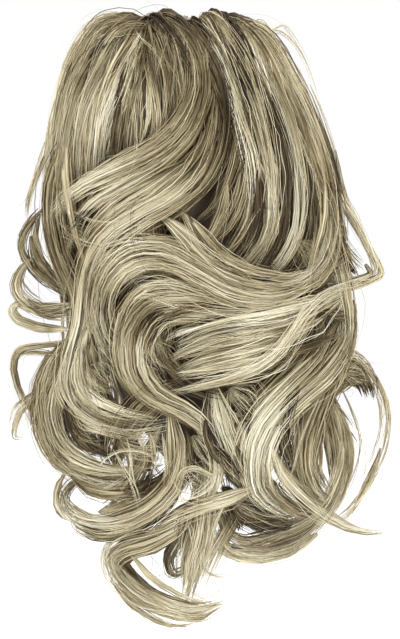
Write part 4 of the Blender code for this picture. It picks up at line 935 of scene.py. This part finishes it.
# short fine hairs that cross the darkest gaps
gapHairs = locksFrom(
    (26, 12, 0.66, (230, 388, 1.02), (243, 404, 1.04), (258, 420, 1.04)),
    (28, 12, 0.62, (192, 436), (206, 454, 1.02), (224, 472, 1.04)),
    (22, 12, 0.6, (220, 450, 1.02), (234, 466, 1.04), (248, 482, 1.04)),
    (26, 12, 0.56, (230, 500, 0.98), (254, 510), (282, 516, 0.98)),
    (22, 12, 0.62, (170, 470), (188, 484, 1.02), (208, 492, 1.02)),
    (24, 12, 0.66, (88, 366), (100, 378, 1.02), (116, 388, 1.04)),
    (16, 8, 0.66, (66, 412), (84, 434, 1.02), (112, 446, 1.02)),
    (20, 10, 0.5, (298, 240, 1.02), (308, 256, 1.04), (318, 272, 1.04)),
    (20, 10, 0.56, (290, 396, 1.04), (287, 424, 1.06), (291, 452, 1.06)),
    (22, 10, 0.5, (326, 272), (342, 274, 0.98), (356, 262, 0.92)),
    (26, 12, 0.5, (340, 370, 0.84), (358, 372, 0.8), (374, 382, 0.76)),
    (26, 12, 0.6, (120, 440), (148, 452, 1.02), (176, 456, 1.02)),
    (24, 12, 0.62, (152, 340, 1.05), (160, 358, 1.05), (172, 376, 1.05)),
    (12, 12, 0.5, (66, 226), (80, 238, 1.04), (96, 246, 1.05)),
    (12, 10, 0.7, (40, 392, 0.7), (30, 404, 0.62), (24, 418, 0.58), (28, 432, 0.6)),
)

# a few hairs that leave the locks: over the crest, round the curls and across the hollows between them
wisps = locksFrom(
    (5, 4, 0.6, (140, 19), (122, 9), (103, 12), (85, 25), (71, 44), (61, 68)),
    (4, 4, 0.5, (146, 17), (130, 7), (112, 6), (94, 9), (80, 20), (71, 38)),
    (3, 4, 0.25, (145, 18), (150, 9), (158, 8), (168, 14), (180, 28)),
    (5, 4, 0.55, (236, 16), (254, 10), (270, 16), (284, 27), (297, 44), (308, 66), (316, 92)),
    (4, 4, 0.6, (244, 18), (262, 16), (280, 28), (298, 52), (312, 82), (322, 112)),
    (5, 4, 0.62, (200, 14, 1.02), (212, 7, 1.02), (222, 14, 1.02), (228, 34, 1.02)),
    (3, 4, 0.62, (310, 84, 0.95), (324, 118, 0.9), (335, 150, 0.85), (343, 186, 0.8), (347, 214, 0.8)),
    (3, 4, 0.6, (45, 140, 0.9), (35, 172, 0.75), (30, 196, 0.65), (31, 214, 0.6)),
    (4, 4, 0.3, (38, 208, 0.7), (26, 222, 0.6), (20, 237, 0.5), (23, 251, 0.5), (33, 267, 0.6),
     (48, 281, 0.75), (64, 290, 0.85)),
    (9, 6, 0.36, (37, 214, 0.75), (34, 234, 0.65), (38, 252, 0.68), (48, 267, 0.75), (62, 284, 0.85)),
    (3, 4, 0.5, (28, 262, 0.5), (19, 275, 0.45), (26, 289, 0.5), (40, 300, 0.65), (56, 306, 0.8)),
    (3, 4, 0.4, (62, 352, 0.8), (40, 353, 0.6), (22, 356, 0.5), (19, 366, 0.5)),
    (4, 4, 0.6, (120, 66, 1.01), (134, 110, 1.02), (138, 150, 1.04), (128, 178, 1.06), (104, 192, 1.06)),
    (4, 4, 0.7, (96, 86, 1.01), (86, 130, 1.02), (84, 168, 1.03), (92, 190, 1.04)),
    (5, 4, 0.66, (58, 222), (78, 240, 1.04), (104, 246, 1.08), (132, 238, 1.1), (160, 240, 1.1)),
    (4, 4, 0.62, (70, 210, 1.02), (92, 220, 1.06), (118, 222, 1.08), (146, 214, 1.09)),
    (4, 4, 0.7, (236, 60), (252, 100, 1.01), (270, 142, 1.02), (280, 186, 1.02), (272, 226, 1.02),
     (254, 252)),
    (4, 4, 0.6, (262, 60), (284, 106, 1.01), (302, 150, 1.01), (320, 186, 1.01), (330, 224, 1.01),
     (322, 252, 1.02)),
    (4, 4, 0.74, (126, 300, 1.06), (150, 296, 1.08), (180, 306, 1.09), (214, 312, 1.1), (250, 318, 1.1)),
    (4, 4, 0.62, (116, 330, 1.04), (124, 306, 1.06), (142, 288, 1.08), (168, 284, 1.09), (198, 296, 1.1)),
    (5, 4, 0.62, (330, 300), (308, 330, 1.06), (288, 362, 1.1), (262, 378, 1.12), (230, 384, 1.12),
     (200, 382, 1.1)),
    (4, 4, 0.7, (185, 408), (199, 420, 1.03), (210, 431, 1.05), (219, 449, 1.06), (218, 471, 1.06),
     (207, 487, 1.06), (190, 498, 1.06), (169, 504, 1.05)),
    (4, 4, 0.72, (180, 486, 1.05), (184, 474, 1.07), (192, 470, 1.08), (203, 472, 1.08), (213, 479, 1.08),
     (208, 488, 1.08), (194, 497, 1.08), (175, 503, 1.07), (158, 500, 1.05)),
    (3, 4, 0.62, (226, 470, 1.04), (212, 474, 1.08), (196, 466, 1.09), (182, 470, 1.09), (176, 484, 1.08),
     (184, 500, 1.07), (206, 503, 1.06), (230, 494, 1.05)),
    (5, 4, 0.74, (262, 485, 1.05), (246, 490, 1.07), (224, 497, 1.08), (206, 506, 1.08), (184, 512, 1.07),
     (162, 509, 1.05)),
    (5, 4, 0.66, (182, 508, 1.04), (190, 526, 1.05), (194, 548, 1.04), (198, 576, 1.02)),
    (5, 4, 0.7, (228, 500, 1.05), (217, 518, 1.06), (210, 541, 1.05), (205, 566, 1.02), (204, 590, 0.98)),
    (4, 4, 0.56, (206, 508, 1.05), (208, 529, 1.06), (202, 552, 1.05), (206, 580, 1.02), (216, 596, 0.98)),
    (6, 5, 0.58, (138, 433), (143, 446, 1.01), (145, 462, 1.01), (140, 478)),
    (6, 5, 0.66, (150, 434), (155, 448, 1.01), (156, 464, 1.01), (150, 482)),
    (6, 5, 0.7, (162, 433), (165, 450, 1.02), (166, 468, 1.02), (160, 488, 1.01)),
    (3, 4, 0.74, (126, 436, 1.03), (130, 456, 1.05), (131, 480, 1.06), (140, 508, 1.04)),
    (3, 4, 0.66, (112, 448, 1.02), (124, 468, 1.05), (135, 488, 1.06), (140, 512, 1.04)),
    (3, 4, 0.66, (96, 470), (108, 457, 1.04), (124, 452, 1.06), (146, 456, 1.05), (160, 470, 1.03)),
    (3, 4, 0.56, (98, 492, 0.98), (118, 484, 1.02), (136, 470, 1.04), (146, 450, 1.04)),
    (4, 4, 0.6, (214, 380), (226, 404, 1.03), (240, 428, 1.05), (246, 456, 1.06), (240, 484, 1.05)),
    (4, 4, 0.64, (300, 378, 1.02), (270, 398, 1.06), (248, 420, 1.08), (236, 446, 1.08), (226, 474, 1.06)),
    (4, 4, 0.6, (330, 372, 0.95), (318, 402), (306, 430, 1.03), (296, 462, 1.04), (288, 492, 1.02),
     (296, 516, 0.98)),
    (3, 4, 0.56, (352, 352, 0.75), (374, 371, 0.6), (388, 398, 0.5), (391, 425, 0.5), (385, 455, 0.5),
     (370, 487, 0.55), (348, 515, 0.65), (322, 537, 0.75)),
    (3, 4, 0.6, (356, 366, 0.7), (376, 390, 0.55), (382, 420, 0.5), (376, 450, 0.52), (361, 482, 0.6),
     (340, 508, 0.7)),
    (3, 4, 0.5, (340, 384, 0.8), (352, 410, 0.76), (361, 442, 0.7), (356, 474, 0.7), (340, 502, 0.76),
     (316, 526, 0.82)),
    (4, 4, 0.56, (196, 560, 0.95), (212, 574, 0.96), (230, 574, 0.94), (244, 562, 0.9)),
    (3, 4, 0.6, (186, 590, 0.95), (206, 598, 0.94), (224, 588, 0.9), (232, 574, 0.86)),
    (3, 4, 0.56, (150, 606, 0.94), (180, 620, 0.92), (206, 620, 0.9), (226, 604, 0.86)),
    (4, 4, 0.62, (109, 556, 0.95), (113, 582, 0.94), (132, 606, 0.94), (162, 621, 0.93), (190, 625, 0.9)),
)


# the locks that a rule makes come in three tones by turns
def variedTone(index):
    return 0.50 + 0.14 * (index % 3) / 2


# the head side: waves that hang from the lower jaw, longest in the middle and curled in at the ends
backRule = {
    "locks": 12, "steps": 10, "wide": 34, "thick": 15, "from": 122, "to": 575, "shorterOutside": 100,
    "shorterOdd": 34, "inset": 0.07, "spread": 0.86, "waves": 1.9, "waveShift": 1.3, "swing": 15,
    "curl": 24, "curlFrom": 0.8, "curlOver": 0.2, "outAtTop": 0.84, "outRise": 1.6, "outWave": 0.08,
}


def backLocks():
    rule = backRule
    made = []
    for index in range(rule["locks"]):
        share = (index + 0.5) / rule["locks"]
        length = rule["to"] - rule["shorterOutside"] * abs(2 * share - 1) - rule["shorterOdd"] * (index % 2)
        stops = []
        for step in range(rule["steps"] + 1):
            along = step / rule["steps"]
            down = rule["from"] + along * (length - rule["from"])
            row = outlineAt(down)
            base = row["left"] + (row["right"] - row["left"]) * (rule["inset"] + rule["spread"] * share)
            wave = 2 * math.pi * rule["waves"] * along + rule["waveShift"] * index
            across = base + rule["swing"] * along * math.sin(wave)
            curl = rule["curl"] * max(0.0, along - rule["curlFrom"]) / rule["curlOver"]
            across += curl * (1 if index % 2 else -1)
            out = min(1.0, rule["outAtTop"] + rule["outRise"] * along)
            stops.append((across, down, out + rule["outWave"] * along * math.cos(wave)))
        tones = (0.34, variedTone(index), 0.66, 0.50)
        made.append({"wide": rule["wide"], "thick": rule["thick"], "tone": tones, "route": stops})
    return made


# falls down each edge, from a little in front of the clip to well behind it
sideRule = {
    "steps": 8, "wide": 22, "thick": 11, "from": 14, "sway": 6, "swayTurns": 9, "curl": 22, "curlFrom": 0.7,
    "curlOver": 0.3, "topSpread": 0.8, "leftInset": 0.85, "rightInset": 1.0,
}
sideRows = (
    {"spread": 0.820, "out": -1.3, "end": 400, "tone": (0.34, 0.44, 0.46, 0.40)},
    {"spread": 0.975, "out": -1.9, "end": 300, "tone": (0.40, 0.56, 0.60, 0.48)},
    {"spread": 0.840, "out": -0.6, "end": 500, "tone": (0.34, 0.42, 0.46, 0.40)},
    {"spread": 0.990, "out": -0.9, "end": 350, "tone": (0.36, 0.48, 0.54, 0.44)},
    {"spread": 1.000, "out": -0.3, "end": 480, "tone": (0.34, 0.44, 0.52, 0.44)},
    {"spread": 0.960, "out": -0.65, "end": 455, "tone": (0.32, 0.46, 0.46, 0.40)},
    {"spread": 0.860, "out": 0.0, "end": 505, "tone": (0.34, 0.44, 0.50, 0.42)},
    {"spread": 0.995, "out": 0.1, "end": 420, "tone": (0.38, 0.56, 0.60, 0.46)},
    {"spread": 0.850, "out": 0.5, "end": 520, "tone": (0.34, 0.46, 0.54, 0.46)},
    {"spread": 0.985, "out": 1.0, "end": 470, "tone": (0.36, 0.50, 0.62, 0.50)},
    {"spread": 0.900, "out": 0.98, "end": 440, "tone": (0.38, 0.60, 0.62, 0.50)},
    {"spread": 0.790, "out": 0.98, "end": 400, "tone": (0.36, 0.52, 0.60, 0.50)},
    {"spread": 0.660, "out": 0.98, "end": 360, "tone": (0.36, 0.62, 0.56, 0.50)},
)


def sideLocks():
    rule = sideRule
    made = []
    for side, inset in ((-1, rule["leftInset"]), (1, rule["rightInset"])):
        for index, row in enumerate(sideRows):
            stops = []
            for step in range(rule["steps"] + 1):
                along = step / rule["steps"]
                down = rule["from"] + along * (row["end"] - rule["from"])
                edges = outlineAt(down)
                middle, half = (edges["left"] + edges["right"]) / 2, (edges["right"] - edges["left"]) / 2
                half = (half - inset * rule["wide"]) * row["spread"]
                half *= min(1.0, rule["topSpread"] + rule["topSpread"] * along)
                turnIn = rule["curl"] * max(0.0, along - rule["curlFrom"]) / rule["curlOver"]
                sway = rule["sway"] * along * math.sin(rule["swayTurns"] * along + 2 * index + side)
                stops.append((middle + side * (half - turnIn) + sway, down, row["out"]))
            made.append({"wide": rule["wide"], "thick": rule["thick"], "tone": row["tone"], "route": stops})
    return made


# short locks that come up from behind the backing, fan out and fall forward over the top; a stop is
# the place along, the chart's height, or 0 where the lock hangs, and how far out
crestRule = {
    "locks": 18, "wide": 13, "thick": 6, "from": 114, "to": 256, "parting": 170, "leftCrown": 146,
    "leftHalf": 34, "rightCrown": 198, "rightHalf": 50, "fan": 40, "fanPower": 1.2, "length": 85,
    "leastLength": 0.75, "moreLength": 0.5, "lengthStep": 0.618, "hangDown": 16, "hangFrom": 0.36,
    "hangOver": 0.64,
    "stops": ((0.0, 42, -0.60), (0.08, 25, -0.54), (0.17, 17, -0.25), (0.26, 14, 0.2), (0.38, 17, 0.8),
              (0.6, 0, 1.0), (0.8, 0, 1.01), (1.0, 0, 0.98)),
}


def crestLocks():
    rule = crestRule
    made = []
    for index in range(rule["locks"]):
        start = between(rule["from"], rule["to"], (index + 0.5) / rule["locks"])
        side = "left" if start < rule["parting"] else "right"
        fan = (start - rule[side + "Crown"]) / rule[side + "Half"]
        length = rule["leastLength"] + rule["moreLength"] * (index * rule["lengthStep"] % 1)
        reach = rule["length"] * length
        stops = []
        for along, down, out in rule["stops"]:
            down = down or rule["hangDown"] + reach * (along - rule["hangFrom"]) / rule["hangOver"]
            stops.append((start + fan * rule["fan"] * along ** rule["fanPower"], down, out))
        tones = (0.38, variedTone(index), 0.66)
        made.append({"wide": rule["wide"], "thick": rule["thick"], "tone": tones, "route": stops,
                     "blunt": True})
    return made


# the imported hair inside, which no light passes through, cut free round the clip and what it holds; its dark
# tone is painted shade for the deep hair
innerMass = {
    "rows": 40, "sides": 120, "from": 24, "to": 474, "narrower": 0.86, "ridges": 21, "ripple": 0.03,
    "rippleShift": 5, "share": 0.82, "drawnIn": 0.30, "drawFrom": 330, "drawOver": 110, "topShare": 0.72,
    "topRise": 3.2, "rounding": 0.9, "roundFrom": 0.8, "roundOver": 0.2, "tone": 0.16, "toneStripe": 0.04,
    "stripes": 48, "place": 0.25, "clipRoom": 0.003, "endRoom": 0.006, "bunRoom": 0.06,
}


def addInnerMass():
    mass = innerMass
    sides = mass["sides"]
    work = bmesh.new()
    layer = work.loops.layers.uv.new("OFBake")
    rings = []
    for ring in range(mass["rows"]):
        share = ring / (mass["rows"] - 1)
        down = between(mass["from"], mass["to"], share)
        row = outlineAt(down)
        end = min(1.0, mass["topShare"] + mass["topRise"] * share)
        rounded = max(0.0, (share - mass["roundFrom"]) / mass["roundOver"])
        end *= math.sqrt(1 - mass["rounding"] * rounded ** 2)
        drawn = mass["drawnIn"] * min(1.0, max(0, down - mass["drawFrom"]) / mass["drawOver"])
        half = (row["right"] - row["left"]) / 2 * square * mass["narrower"]
        place = chartPlace((row["left"] + row["right"]) / 2, down, 0.0, False)
        line = []
        for step in range(sides):
            turn = 2 * math.pi * step / sides
            wave = mass["ridges"] * turn + mass["rippleShift"] * math.sin(mass["rippleShift"] * share)
            reach = (mass["share"] - drawn) * end * (1 + mass["ripple"] * math.sin(wave))
            depth = chart["front"] * row["front"] if math.sin(turn) > 0 else chart["back"] * row["back"]
            across, back = place.x + half * reach * math.cos(turn), -depth * reach * math.sin(turn)
            line.append(work.verts.new((across, back, place.z)))
        rings.append(line)
    for upper, lower in zip(rings, rings[1:]):
        for step in range(sides):
            ahead = (step + 1) % sides
            face = work.faces.new((upper[step], lower[step], lower[ahead], upper[ahead]))
            face.smooth = True
    work.faces.new(rings[0])
    work.faces.new(reversed(rings[-1]))
    bmesh.ops.recalc_face_normals(work, faces=work.faces)
    for loop in (loop for face in work.faces for loop in face.loops):
        turn = math.atan2(-loop.vert.co.y, loop.vert.co.x)
        height = (chart["clipBelowTop"] - loop.vert.co.z) / chart["length"]
        # a dark tone with faint stripes: painted shade for the hair deep inside
        tone = mass["tone"] + mass["toneStripe"] * math.sin(mass["stripes"] * turn)
        loop[layer].uv = (tone, mass["place"] * height)
    mesh = bpy.data.meshes.new("innerMass")
    work.to_mesh(mesh)
    work.free()
    mesh.materials.append(hair)
    piece = addObject("innerMass", mesh)
    bpy.ops.mesh.primitive_cube_add(size=1)
    cutter = bpy.context.active_object
    low = clipLow - Vector((mass["endRoom"], mass["clipRoom"], mass["clipRoom"]))
    high = clipHigh + Vector((mass["endRoom"], mass["bunRoom"], mass["clipRoom"]))
    cutter.scale = high - low
    cutter.location = (low + high) / 2
    cut = piece.modifiers.new("clipRoom", "BOOLEAN")
    cut.operation = "DIFFERENCE"
    cut.solver = "EXACT"
    cut.object = cutter
    graph = bpy.context.evaluated_depsgraph_get()
    piece.data = bpy.data.meshes.new_from_object(piece.evaluated_get(graph))
    piece.modifiers.clear()
    bpy.data.objects.remove(cutter)
    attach(piece, "root")
    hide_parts("under_bundle")


# darker copies of the wider locks, a little deeper and wider, show between them; their darkness is painted
# shade for the depth of the hair
def deeper(locks, over=13, out=0.90, wider=1.25, darker=0.25):
    return [
        {**lock, "wide": lock["wide"] * wider, "tone": [value - darker for value in lock["tone"]],
         "route": [(across, down, reach * out) for across, down, reach in lock["route"]]}
        for lock in locks if lock["wide"] > over
    ]


# the kinds of hair in every part, with the number of strands for a lock of the front and the head side
hairKinds = (
    {"kind": "Strands", "look": strandLook, "front": 1.56, "behind": 0.42, "seed": 1},
    {"kind": "Ribbons", "look": ribbonLook, "front": 0.52, "behind": 0.20, "seed": 2},
    {"kind": "Loose", "look": looseLook, "front": 0.24, "behind": 0.04, "seed": 4},
    {"kind": "Fuzz", "look": fuzzLook, "front": 0.09, "behind": 0.015, "seed": 5},
    {"kind": "Deep", "look": deepLook, "front": 0.28, "behind": 0.15, "seed": 3},
)
hairParts = (
    {"name": "leftFountain", "locks": leftLocks, "node": "left_bundle", "seed": 10, "side": "front"},
    {"name": "rightFall", "locks": fallLocks, "node": "right_bundle", "seed": 20, "side": "front"},
    {"name": "swirl", "locks": swirlLocks, "node": "right_bundle", "seed": 30, "side": "front"},
    {"name": "under", "locks": underLocks, "node": "under_bundle", "seed": 40, "side": "front"},
    {"name": "headSide", "locks": [*backLocks(), *sideLocks()], "node": "under_bundle", "seed": 50,
     "side": "behind"},
)

addInnerMass()
for part in hairParts:
    behind = part["side"] == "behind"
    for hairKind in hairKinds:
        locks = deeper(part["locks"]) if hairKind["kind"] == "Deep" and not behind else part["locks"]
        growHair(part["name"] + hairKind["kind"], locks, part["node"], hairKind["look"],
                 density=hairKind[part["side"]], seed=part["seed"] + hairKind["seed"], behind=behind)
# painted shade: dark strands and ribbons over the partings
growHair("paintedShadeStrands", paintedShadeLocks, "right_bundle", strandLook, density=2.0, seed=71)
growHair("paintedShadeRibbons", paintedShadeLocks, "right_bundle", ribbonLook, density=0.9, seed=72)
growHair("wisps", wisps, "right_bundle", wispLook, density=1.3, seed=81)
growHair("gapHairs", gapHairs, "under_bundle", gapLook, density=2.0, seed=91)
crest = crestLocks()
crestLeft = [lock for lock in crest if lock["route"][0][0] < crestRule["parting"]]
growHair("leftCrest", crestLeft, "left_bundle", strandLook, density=2.2, seed=61)
growHair("rightCrest", crest[len(crestLeft):], "right_bundle", strandLook, density=2.2, seed=62)
print("all the hair:", sum(totals), "triangles in", len(totals), "pieces")


# the clip keeps its own mesh: brown moulded plastic, a little mottled, with a soft satin gloss
clipFinish = {
    "colours": ((0.35, (0.050, 0.030, 0.016)), (0.70, (0.150, 0.096, 0.050))), "mottle": 70.0,
    "mottleDetail": 4.0, "grain": 900.0, "grainDetail": 2.0, "bump": 0.18, "bumpDepth": 0.0002,
    "roughness": 0.24, "mottleRoughness": 0.18,
}


def clipMaterial():
    finish = clipFinish
    material, tree, shader = newMaterial("brownPlastic")
    plus, _, times = sumsOn(tree)[:3]
    place = tree.nodes.new("ShaderNodeTexCoord").outputs["Object"]
    mottle = addNoise(tree, place, finish["mottle"], finish["mottleDetail"]).outputs[0]
    grain = addNoise(tree, place, finish["grain"], finish["grainDetail"]).outputs[0]
    addRamp(tree, mottle, finish["colours"], shader.inputs["Base Color"])
    addBump(tree, grain, finish["bump"], finish["bumpDepth"], shader.inputs["Normal"])
    roughness = plus(times(mottle, finish["mottleRoughness"]), finish["roughness"])
    tree.links.new(roughness, shader.inputs["Roughness"])
    return material


clip = bpy.data.objects["claw_clip"]
clip.data.materials.clear()
clip.data.materials.append(clipMaterial())
print("clip finished")
